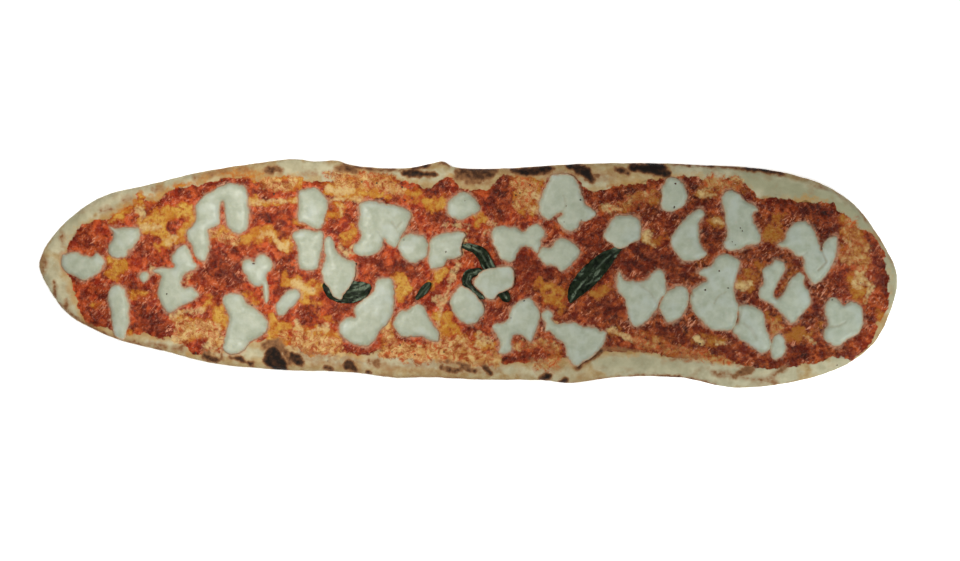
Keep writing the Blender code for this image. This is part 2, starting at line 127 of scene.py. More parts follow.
DARK_SAUCE = ((0.045, 0.005, 0.002), (0.19, 0.022, 0.006))
THIN_SAUCE = ((0.24, 0.036, 0.008), (0.48, 0.085, 0.018))
DIM_SAUCE = (0.12, 0.009, 0.003)
# Painted shade in the sauce's crinkles.
CRINKLE_SHADE_SAUCE = (0.05, 0.006, 0.002)
PITTED_SAUCE = (0.07, 0.006, 0.002)
BURNT_SAUCE = (0.012, 0.006, 0.005)
# Pale pulp, and painted glints on the wet sauce.
PULP_AND_GLINTS = (0.64, 0.25, 0.14)
WARM_OIL = ((0.40, 0.080, 0.008), (0.48, 0.150, 0.014))
GOLD_OIL = ((0.50, 0.200, 0.020), (0.62, 0.35, 0.06))
OIL_DARKER_RIGHT = (0.24, 0.070, 0.012)
OILY_BITS = (0.36, 0.075, 0.014)
CREAMY_OIL = (0.66, 0.46, 0.20)
MILKY_SAUCE = (0.52, 0.28, 0.17)
CHEESE = ((0.37, 0.395, 0.30), (0.46, 0.48, 0.38))
WHITE_CHEESE = (0.53, 0.55, 0.47)
# Painted sheen: bluish-white patches on the cheese.
BLUISH_SHEEN_CHEESE = (0.47, 0.51, 0.46)
CREAMY_CHEESE = (0.47, 0.42, 0.29)
FRAYED_CHEESE = (0.47, 0.23, 0.13)
# Painted shade in the creases of the cheese.
CREASE_SHADE_CHEESE = (0.22, 0.13, 0.05)
LEAF = ((0.002, 0.004, 0.001), (0.013, 0.022, 0.009))
# Painted glints along the leaf's wrinkles.
LEAF_GLINTS = (0.15, 0.19, 0.13)
SPECK = ((0.016, 0.009, 0.006), (0.10, 0.04, 0.02))
FLOOR = ((0.955, 0.955, 0.95), (0.97, 0.97, 0.97))

# Burns from brown to black, each with the strengths of CHAR_AND_SHADOW_STROKES between which it comes in.
# They also colour the painted shadow lines.
BURNS_AND_SHADOWS = (
    ((0.31, 0.145, 0.06), 0.03, 0.40),
    ((0.115, 0.045, 0.02), 0.28, 0.70),
    ((0.014, 0.009, 0.007), 0.55, 1.0),
)

# Strokes of the tables below: how strong each one is, and its run of (x, y, half width).

# Orange oil and melted fat on the sauce.
OIL = (
    (0.9, (113, 219, 3), (124, 212, 3.5), (133, 205, 4), (141, 199, 5)),
    (0.8, (152, 196, 3), (172, 187, 3), (195, 181, 4), (215, 174, 4), (240, 172, 5), (262, 175, 5)),
    (1.0, (143, 222, 5), (155, 220, 9), (170, 213, 9), (186, 210, 7), (193, 217, 5)),
    (1.0, (150, 228, 5), (168, 238, 8), (160, 243, 4)),
    (0.9, (192, 222, 4), (184, 231, 5), (176, 238, 5)),
    (1.0, (106, 257, 3), (118, 266, 9), (113, 273, 6)),
    (0.8, (210, 236, 5), (222, 233, 5), (238, 238, 5), (248, 239, 7), (262, 235, 5), (272, 233, 4)),
    (0.9, (278, 240, 7), (286, 246, 5)),
    (0.7, (268, 178, 5), (285, 184, 8), (298, 182, 6)),
    (0.8, (250, 201.5, 2.2), (275, 201, 2.5), (297, 201, 2.2)),
    (0.6, (132, 295, 3), (142, 293, 2.5)),
    (0.7, (96, 305, 3), (101, 304, 2.5)),
    (0.7, (124, 330, 4), (131, 334, 4)),
    (1.0, (209, 303, 5), (216, 311, 8), (222, 321, 6)),
    (0.8, (180, 321, 7), (192, 326, 8), (206, 322, 6), (218, 327, 6)),
    (0.6, (183, 335, 6), (200, 333, 7), (214, 338, 5)),
    (0.6, (238, 293, 3), (250, 298, 4), (255, 303, 3)),
    (1.0, (284, 279, 5), (293, 281, 6), (300, 287, 5)),
    (1.0, (303, 289, 6), (318, 287, 6)),
    (0.8, (303, 299, 4), (312, 302, 3), (320, 304, 2.5)),
    (0.8, (316, 313, 2), (326, 318, 1.8), (336, 323, 1.5)),
    (1.0, (273, 321, 5), (282, 328, 8), (271, 336, 6), (285, 341, 7)),
    (0.75, (298, 333, 7), (314, 338, 9), (330, 334, 9), (333, 345, 6), (310, 348, 6)),
    (0.9, (303, 221, 2.5), (309, 224, 2)),
    (1.0, (328, 190, 5), (342, 192, 8), (357, 194, 6), (372, 192, 6), (386, 194, 4)),
    (0.8, (340, 181, 4), (356, 180, 5), (372, 182, 6), (390, 181, 6), (402, 193, 4), (415, 194, 5)),
    (0.7, (338, 206, 5), (341, 213, 3)),
    (1.0, (345, 238, 4), (352, 232, 6), (358, 228, 3)),
    (1.0, (427, 203, 3), (436, 204, 5), (443, 203, 4)),
    (1.0, (474, 216, 3), (480, 220, 6), (484, 221, 4)),
    (1.0, (399, 278, 4), (402, 288, 8), (399, 297, 4)),
    (1.0, (442, 268, 5), (437, 276, 6), (433, 285, 3)),
    (1.0, (436, 316, 4), (446, 318, 7), (450, 324, 5)),
    (0.7, (456, 331, 5), (461, 336, 3)),
    (0.85, (516, 180, 5), (520, 190, 9), (526, 203, 9), (538, 207, 7), (540, 186, 6), (527, 178, 7)),
    (1.0, (538, 285, 4), (553, 286, 6), (560, 294, 8), (551, 299, 8), (560, 307, 5)),
    (1.0, (593, 293, 5), (602, 292, 8), (609, 289, 4)),
    (0.8, (620, 330, 2.5), (612, 333, 2)),
    (0.9, (640, 196, 5), (652, 197, 7), (661, 201, 4)),
    (0.6, (605, 209, 4), (616, 210, 4), (628, 208, 3)),
    (0.9, (645, 237, 5), (656, 240, 7), (666, 238, 3)),
    (0.8, (706, 184, 5), (722, 184, 7), (738, 184, 6), (746, 190, 3)),
    (0.9, (703, 193, 5), (715, 194, 4)),
    (0.9, (712, 219, 4), (721, 222, 4)),
    (1.0, (779, 216, 5), (776, 228, 8), (768, 238, 5), (782, 237, 4)),
    (1.0, (757, 268, 6), (750, 277, 8), (740, 285, 5), (752, 287, 4)),
    (0.7, (698, 262, 4), (704, 257, 3)),
    (0.9, (842, 217, 5), (849, 229, 8), (856, 243, 9), (862, 258, 9), (862, 270, 7)),
    (1.0, (858, 274, 7), (860, 287, 8), (857, 298, 6)),
    (0.6, (842, 251, 5), (838, 262, 3)),
    (0.8, (768, 316, 4), (775, 323, 6), (776, 333, 5)),
    (1.0, (787, 339, 4), (797, 335, 7), (803, 333, 5)),
    (0.9, (689, 334, 4), (702, 339, 5), (716, 342, 5), (727, 339, 3)),
    (0.6, (648, 340, 8), (662, 345, 6)),
    (0.7, (600, 183, 3), (618, 183, 4)),
    (0.6, (666, 352, 4), (690, 355, 4), (720, 358, 3)),
    (0.5, (812, 336, 5), (822, 325, 5)),
    (0.8, (878, 309, 4), (881, 318, 4)),
    (0.6, (555, 351, 4), (562, 363, 6), (550, 366, 5)),
    (0.6, (478, 343, 7), (490, 345, 7), (484, 349, 5)),
    (0.5, (384, 330, 5), (390, 318, 4), (386, 341, 4)),
    (0.8, (443, 318, 6), (448, 328, 7), (440, 338, 4)),
    (0.7, (300, 222, 4), (333, 214, 4)),
    (0.5, (560, 226, 3), (566, 227, 3)),
    (0.5, (788, 262, 4), (793, 270, 3), (775, 300, 3)),
)

# Cream left by melted cheese, and pale dough, within the oil.
CREAM = (
    (0.7, (143, 226, 4), (153, 227, 5), (161, 226, 3)),
    (0.6, (168, 241, 6), (176, 238, 3)),
    (0.8, (139, 210, 3), (145, 216, 3), (140, 222, 3)),
    (0.8, (250, 201.5, 1.4), (275, 201, 1.8), (297, 201, 1.4)),
    (0.8, (262, 235, 4), (272, 234, 3), (282, 247, 4), (287, 243, 3)),
    (0.7, (212, 233, 3), (224, 236, 3), (238, 241, 3)),
    (0.9, (180, 322, 4), (190, 329, 5), (206, 325, 4), (218, 329, 4)),
    (0.8, (176, 338, 4), (190, 336, 4), (184, 330, 3)),
    (0.8, (208, 344, 5), (220, 342, 5), (214, 350, 4)),
    (0.8, (294, 283, 4), (303, 289, 4), (311, 292, 3)),
    (0.9, (338, 192, 6), (350, 191, 5), (328, 189, 3)),
    (0.6, (339, 206, 4), (341, 212, 3)),
    (0.8, (297, 322, 3), (299, 331, 4)),
    (0.7, (318, 330, 5), (326, 328, 4), (309, 331, 3)),
    (0.8, (335, 354, 4), (341, 356, 3)),
    (0.8, (290, 349, 3), (297, 349, 2)),
    (0.7, (518, 188, 4), (526, 190, 3), (515, 184, 2)),
    (0.9, (534, 194, 4), (538, 198, 3)),
    (0.5, (540, 206, 6), (530, 210, 4)),
    (0.8, (605, 207, 3), (614, 209, 4), (622, 209, 3)),
    (0.7, (648, 234, 4), (645, 240, 3), (652, 244, 2)),
    (0.7, (640, 193, 2), (650, 195, 3)),
    (0.9, (703, 194, 4), (714, 195, 3)),
    (0.7, (714, 219, 2.5), (721, 222, 2.5)),
    (0.8, (740, 286, 4), (749, 284, 2)),
    (1.0, (696, 340, 2.5), (700, 342, 2)),
    (1.0, (718, 343, 2.5), (724, 343, 2)),
    (0.6, (846, 255, 3), (842, 262, 3), (850, 248, 3)),
    (0.6, (858, 275, 5), (859, 285, 5)),
    (0.5, (866, 246, 4), (868, 256, 3)),
    (0.6, (480, 343, 5), (490, 346, 4)),
    (0.5, (445, 349, 5), (460, 345, 4), (430, 347, 3)),
    (0.7, (380, 322, 4), (384, 330, 4), (388, 316, 3)),
    (0.6, (434, 299, 3), (446, 302, 4), (440, 306, 3)),
    (0.8, (264, 285, 3), (265, 291, 3), (266, 299, 3)),
    (0.8, (340, 247, 4), (345, 254, 4)),
    (0.7, (355, 247, 4), (352, 253, 3)),
    (0.8, (549, 316, 3), (553, 324, 3), (548, 329, 2.5)),
    (0.6, (153, 270, 3), (163, 269, 2)),
    (0.6, (190, 274, 3), (186, 282, 3)),
    (0.6, (433, 337, 3), (470, 224, 3), (444, 226, 3)),
    (0.5, (491, 223, 4), (497, 225, 3), (486, 232, 3)),
    (0.5, (410, 212, 3), (414, 220, 3)),
    (0.5, (806, 338, 4), (814, 342, 3)),
    (0.6, (617, 279, 3), (620, 272, 2)),
    (0.8, (268, 180, 3), (280, 186, 4), (292, 181, 4), (286, 190, 2.5)),
    (0.8, (332, 200, 3), (345, 198, 3), (360, 199, 2.5)),
    (0.7, (332, 172, 2), (345, 175, 2), (362, 176, 2)),
    (0.6, (172, 316, 3), (182, 313, 3), (205, 309, 3)),
    (0.7, (866, 300, 2.5), (872, 288, 2), (846, 240, 3), (852, 250, 3)),
    (0.6, (742, 182, 2.5), (730, 180, 2.5), (716, 189, 3)),
    (0.6, (625, 336, 3), (640, 343, 3), (610, 330, 3)),
    (0.5, (480, 336, 5), (490, 340, 5), (482, 347, 4)),
)

# Sauce that is darker than the rest, from deep red to burnt, and in places painted shadow between pieces of
# cheese.
DEEP = (
    (0.5, (84, 302, 6), (88, 316, 8), (97, 322, 6)),
    (0.2, (75, 236, 4), (80, 244, 3), (90, 245, 4)),
    (0.55, (140, 305, 6), (146, 320, 9), (158, 326, 8), (162, 316, 5)),
    (0.6, (170, 229, 4), (171, 224, 3)),
    (0.5, (161, 199, 3), (166, 196, 3)),
    (0.5, (181, 188, 3), (186, 187, 2)),
    (0.45, (215, 262, 8), (225, 272, 10), (238, 280, 8)),
    (0.75, (264, 214, 2.5), (268, 219, 3.5), (271, 216, 2)),
    (0.4, (254, 213, 3), (282, 214, 6), (290, 218, 5)),
    (0.5, (286, 258, 4), (291, 266, 3), (290, 272, 3)),
    (0.5, (306, 307, 3), (312, 312, 5), (308, 322, 5), (322, 322, 3)),
    (0.45, (330, 306, 5), (342, 307, 4)),
    (0.5, (342, 350, 4), (356, 354, 4), (372, 351, 5), (382, 345, 4)),
    (0.6, (331, 222, 3), (334, 226, 2)),
    (0.6, (377, 198, 2), (388, 199, 3), (396, 201, 2)),
    (0.55, (378, 268, 4), (386, 268, 5), (392, 269, 3)),
    (0.4, (398, 263, 4), (408, 268, 6), (418, 266, 5)),
    (0.55, (419, 189, 4), (432, 188, 6), (444, 180, 7)),
    (0.5, (434, 217, 8), (444, 222, 6)),
    (0.75, (484, 203, 2.5), (490, 203, 4), (494, 201, 3)),
    (0.75, (506, 174, 3), (500, 182, 4), (495, 192, 5), (503, 195, 4)),
    (0.5, (494, 205, 6), (500, 215, 6)),
    (0.45, (520, 262, 8), (534, 266, 8), (545, 275, 7)),
    (0.5, (560, 243, 2), (548, 243, 3)),
    (0.55, (585, 240, 7), (595, 246, 8), (600, 234, 6)),
    (0.4, (600, 200, 6), (618, 196, 7), (634, 190, 6), (640, 206, 6)),
    (0.65, (637, 252, 6), (650, 258, 9), (665, 262, 9), (640, 268, 7), (622, 262, 7)),
    (0.6, (597, 305, 4), (606, 308, 6), (612, 316, 6), (622, 306, 3)),
    (0.55, (556, 307, 2.5), (566, 312, 2)),
    (0.55, (672, 272, 5), (684, 276, 4), (690, 262, 5)),
    # Painted shadow between pieces of cheese.
    (0.65, (706, 230, 5), (714, 236, 6), (718, 226, 5)),
    (0.55, (692, 182, 5), (702, 205, 4), (684, 208, 4), (676, 218, 4)),
    (0.5, (757, 208, 4), (757, 218, 5), (760, 225, 3)),
    (0.6, (780, 203, 5), (798, 206, 6), (812, 210, 6), (832, 210, 5)),
    (0.9, (816, 212, 3), (823, 213, 4), (829, 212, 3)),
    (0.6, (815, 224, 4), (827, 229, 5), (833, 222, 4)),
    (0.5, (780, 250, 4), (782, 258, 3), (772, 254, 3)),
    (0.55, (839, 283, 6), (846, 291, 5)),
    (0.5, (864, 236, 4), (870, 241, 5), (866, 246, 3)),
    (0.6, (874, 252, 4), (880, 264, 5), (884, 277, 5), (882, 288, 4)),
    (0.7, (882, 295, 2.5), (876, 305, 2.5), (870, 318, 2.5), (866, 326, 2)),
    (0.5, (817, 290, 3), (816, 310, 4), (812, 322, 4)),
    (0.9, (801, 357, 3), (806, 355, 5), (811, 354, 3)),
    (0.5, (785, 353, 4), (795, 352, 5), (776, 364, 3)),
    (0.8, (694, 343, 1.5), (699, 345, 2.5), (703, 347, 1.5)),
    (0.5, (778, 282, 3), (776, 292, 3), (784, 276, 2)),
    (0.5, (749, 304, 3), (760, 308, 3), (738, 299, 3)),
    (0.5, (640, 318, 3), (648, 328, 4)),
    (0.5, (195, 353, 2), (194, 350, 2)),
    (0.5, (470, 328, 5), (480, 322, 3), (478, 334, 3)),
    (0.5, (490, 314, 3), (497, 308, 4)),
    (0.4, (128, 285, 3), (136, 286, 2)),
    (0.35, (140, 243, 4), (150, 256, 6), (164, 260, 6)),
    (0.5, (553, 344, 3), (559, 350, 4)),
    (0.55, (205, 246, 3), (214, 250, 4), (224, 252, 5), (236, 250, 4)),
    (0.5, (118, 300, 4), (104, 298, 4), (92, 292, 4)),
    (0.5, (445, 214, 5), (452, 224, 4), (478, 190, 4)),
    (0.5, (620, 256, 5), (634, 262, 6), (652, 268, 4)),
    (0.45, (640, 300, 4), (690, 330, 5), (706, 336, 4), (660, 330, 6)),
    (0.5, (830, 226, 5), (842, 232, 3), (818, 218, 4)),
    (0.7, (506, 360, 3), (520, 358, 3), (536, 353, 2)),
    # Painted shadow between pieces of cheese.
    (0.5, (700, 214, 4), (712, 246, 3), (704, 236, 3)),
)

# Browned and burnt dough, from tan at 0.3 to black at 1, and painted shadow in a fold at the lower right
# and in thin lines along the lower edges.
CHAR_AND_SHADOW_STROKES = (
    (0.62, (263, 170, 2), (272, 170, 4.5), (281, 171, 2)),
    (0.28, (240, 170, 2.5), (250, 170, 3)),
    (0.6, (338, 169, 2), (346, 168, 4), (355, 171, 3)),
    (0.2, (302, 174, 3), (315, 173, 2.5)),
    (0.95, (404, 173, 2), (413, 173, 3), (424, 175, 2.2), (435, 174, 1.8)),
    (0.8, (354, 166.5, 0.8), (366, 168.5, 0.8), (380, 170, 0.7), (400, 170, 0.8)),
    (0.95, (413, 168.8, 0.8), (421, 167, 1.8), (430, 165, 1.0)),
    (0.6, (440, 163.5, 1.2), (446, 163, 1.5), (449, 166, 1)),
    (0.66, (457, 172, 2), (468, 174, 6), (480, 174, 7.5), (490, 174, 6), (496, 171, 3)),
    (0.45, (459, 177, 4), (475, 182, 4), (488, 181, 3)),
    (0.95, (512, 170, 1.5), (524, 172, 3.5), (536, 171, 5), (546, 169, 4), (553, 168, 2)),
    (0.98, (568, 166, 2), (577, 168, 4.5), (586, 172, 6), (590, 179, 4), (592, 182, 1.5)),
    (0.75, (594, 175, 1.6), (598, 175, 1.2)),
    (0.8, (616, 170, 1.5), (622, 171, 2.5), (628, 174, 1.8)),
    (1.0, (632, 168, 3), (642, 168, 6), (653, 169, 7), (661, 170, 6), (667, 173, 3)),
    (0.9, (672, 163.5, 0.6), (700, 165.5, 0.7), (725, 167, 0.8), (745, 168.5, 1.2)),
    (1.0, (742, 168.5, 1.2), (755, 169, 2), (770, 171.5, 1.6), (785, 174, 0.8)),
    (0.35, (815, 186, 0.8), (835, 192, 0.8), (860, 211, 0.8), (880, 240, 0.8), (893, 265, 0.7)),
    (0.45, (206, 352, 3), (214, 354, 3)),
    (0.7, (206, 356, 3), (213, 359, 3.5), (221, 360, 2.5), (222, 354, 1.5)),
    (0.85, (232, 358, 1.8), (238, 358, 2.2), (245, 361, 2), (251, 364, 2.4)),
    (0.97, (273, 353, 6), (274, 359, 9.5), (279, 364, 8), (284, 369, 3)),
    (0.5, (264, 346, 4), (273, 344, 6), (281, 345, 4), (290, 360, 4)),
    (0.9, (292, 355, 3), (297, 359, 4.5), (302, 365, 2.5)),
    (0.75, (325, 368, 2), (331, 368.5, 2.3)),
    (0.78, (346, 363, 3), (350, 365, 5.5), (354, 369, 3.5)),
    (0.4, (370, 362, 3), (378, 364, 4)),
    (0.85, (369, 372.5, 1.6), (371, 373, 1.2)),
    (0.55, (411, 371, 2)),
    (0.6, (443, 367, 2.5), (454, 371, 2), (466, 368, 2.5), (475, 371, 2)),
    (0.85, (483, 367, 2), (487, 370, 2), (491, 373, 1.8)),
    (0.65, (447, 362, 1.8), (460, 364, 1.8), (470, 366, 1.5)),
    (0.3, (530, 361, 2), (540, 362, 1.6), (547, 361, 1)),
    (0.9, (541, 378, 2), (546, 377, 3), (549, 376, 2)),
    (0.95, (561, 381.5, 1.8), (566, 380.5, 2.6)),
    # Painted shadow in the fold, then a painted shadow line along the lower edge.
    (0.7, (576, 368, 1.6), (584, 363, 1.8), (594, 357, 1.6), (602, 350, 1.2)),
    (0.45, (604, 349, 1), (625, 350, 1), (645, 352, 1)),
    (0.6, (590, 379.5, 0.8), (610, 377.5, 0.8), (640, 376, 1), (665, 376, 0.8)),
    (0.8, (660, 376, 0.8), (680, 377, 1.2), (700, 382, 1.2), (715, 385, 0.8)),
    (0.3, (672, 359, 3), (684, 358, 3.5), (700, 357, 3)),
    (0.5, (738, 374, 3.5), (745, 372, 4.5), (752, 369, 3)),
    (0.42, (769, 379, 2), (787, 366, 2)),
    (0.3, (714, 373, 3), (776, 383, 3)),
    (0.5, (55, 283, 1.2), (55.5, 290, 1.6), (56, 297, 1.2)),
    (0.5, (67, 299, 1), (66.5, 305, 1.4), (65, 310, 1)),
    (0.32, (101, 210, 2.5), (108, 208.5, 2.5), (116, 209, 2)),
    (0.3, (43, 258, 2.5), (45, 266, 3), (44, 274, 2.5)),
    (0.3, (124, 200, 3.5), (131, 199, 3)),
    (0.25, (153, 189, 3), (162, 188, 3)),
    (0.25, (196, 178, 3), (212, 174, 3), (230, 170, 3)),
    (0.3, (62, 232, 2), (63, 246, 1.5)),
    (0.35, (173, 348, 3), (182, 348, 3)),
    (0.3, (150, 343, 3), (165, 347, 3)),
    # Painted shadow lines along the lower edges.
    (0.4, (380, 376, 1), (405, 377, 1), (430, 377, 1), (455, 378.5, 1), (480, 379.5, 1)),
    (0.5, (60, 305, 0.8), (75, 317, 0.8), (92, 327.5, 1), (118, 338.5, 0.8), (160, 349, 0.7)),
    (0.2, (290, 351, 5), (312, 358, 7), (335, 360, 7), (360, 366, 6)),
    (0.16, (385, 366, 5), (420, 366, 7), (460, 368, 7), (500, 368, 6)),
    (0.18, (598, 174, 6), (612, 176, 6), (505, 172, 4)),
)

# Dough that is paler and greyer with flour than the rest.
FLOUR = (
    (1.0, (60, 246, 9), (72, 224, 8), (90, 208, 9), (108, 201, 9), (128, 194, 7), (150, 189, 6)),
    (0.8, (170, 183, 5), (190, 178, 5)),
    (0.8, (48, 266, 8), (54, 280, 8), (62, 298, 8), (72, 312, 6)),
    (0.9, (286, 166, 7), (305, 168, 9), (325, 170, 9), (330, 180, 5)),
    (0.8, (386, 174, 3), (446, 176, 4), (455, 170, 3)),
    (0.7, (560, 176, 5), (575, 182, 4), (606, 182, 5)),
    (1.0, (680, 172, 7), (705, 172, 7), (730, 175, 8), (760, 184, 11), (790, 190, 12), (820, 196, 10)),
    (1.0, (840, 202, 8), (858, 220, 8), (874, 240, 6), (890, 266, 6), (894, 290, 6), (888, 310, 5)),
    (1.0, (600, 364, 7), (630, 366, 10), (670, 368, 10), (710, 372, 12), (750, 379, 10), (790, 375, 9)),
    (1.0, (820, 369, 8), (845, 363, 8)),
    (0.7, (160, 344, 5), (150, 340, 4), (230, 354, 5), (255, 352, 5), (434, 364, 5)),
    (0.5, (365, 365, 3), (410, 362, 5), (520, 371, 5), (560, 374, 4), (585, 372, 4)),
)

# Painted shade: dough that is duller and greener than the rest, where less light falls on the rim.
DULL_RIM_SHADE = (
    (0.9, (742, 178, 8), (765, 183, 10), (795, 192, 10), (825, 200, 9), (845, 210, 7), (862, 226, 6)),
    (0.6, (875, 245, 5), (892, 270, 6), (893, 295, 5)),
    (0.5, (600, 362, 5), (640, 364, 5), (680, 366, 6)),
    (0.4, (66, 232, 7), (82, 214, 6)),
)

# Grooves and folds pressed into the dough, deepest at 1.
FOLDS = (
    (0.8, (55, 281, 1), (55.5, 290, 1.4), (56, 298, 1)),
    (0.7, (67, 298, 1), (66.5, 305, 1.2), (64, 311, 1)),
    (1.0, (575, 370, 1.5), (584, 364, 1.8), (594, 357, 1.8), (603, 350, 1.5)),
    (0.5, (604, 350, 1.2), (625, 351, 1.2), (648, 353, 1.2)),
    (0.6, (48, 247, 0.8), (43, 260, 0.8), (42, 270, 0.8), (47, 279, 0.8)),
    (0.5, (352, 168, 1), (354, 173, 1)),
    (0.5, (449, 166, 1), (460, 169, 1)),
    (0.6, (196, 352, 2), (194, 347, 2)),
    (0.5, (506, 358, 1.5), (520, 357, 1.8), (540, 353, 1.5)),
    (0.4, (770, 178, 1), (800, 184, 1), (830, 196, 1), (850, 210, 1)),
    (0.4, (780, 186, 1), (805, 194, 1), (825, 200, 1)),
    (0.5, (640, 372, 1), (670, 374, 1.2), (692, 379, 1)),
    (0.4, (690, 360, 1), (720, 364, 1), (745, 372, 1)),
    (0.4, (800, 380, 1), (830, 371, 1), (850, 362, 1)),
)

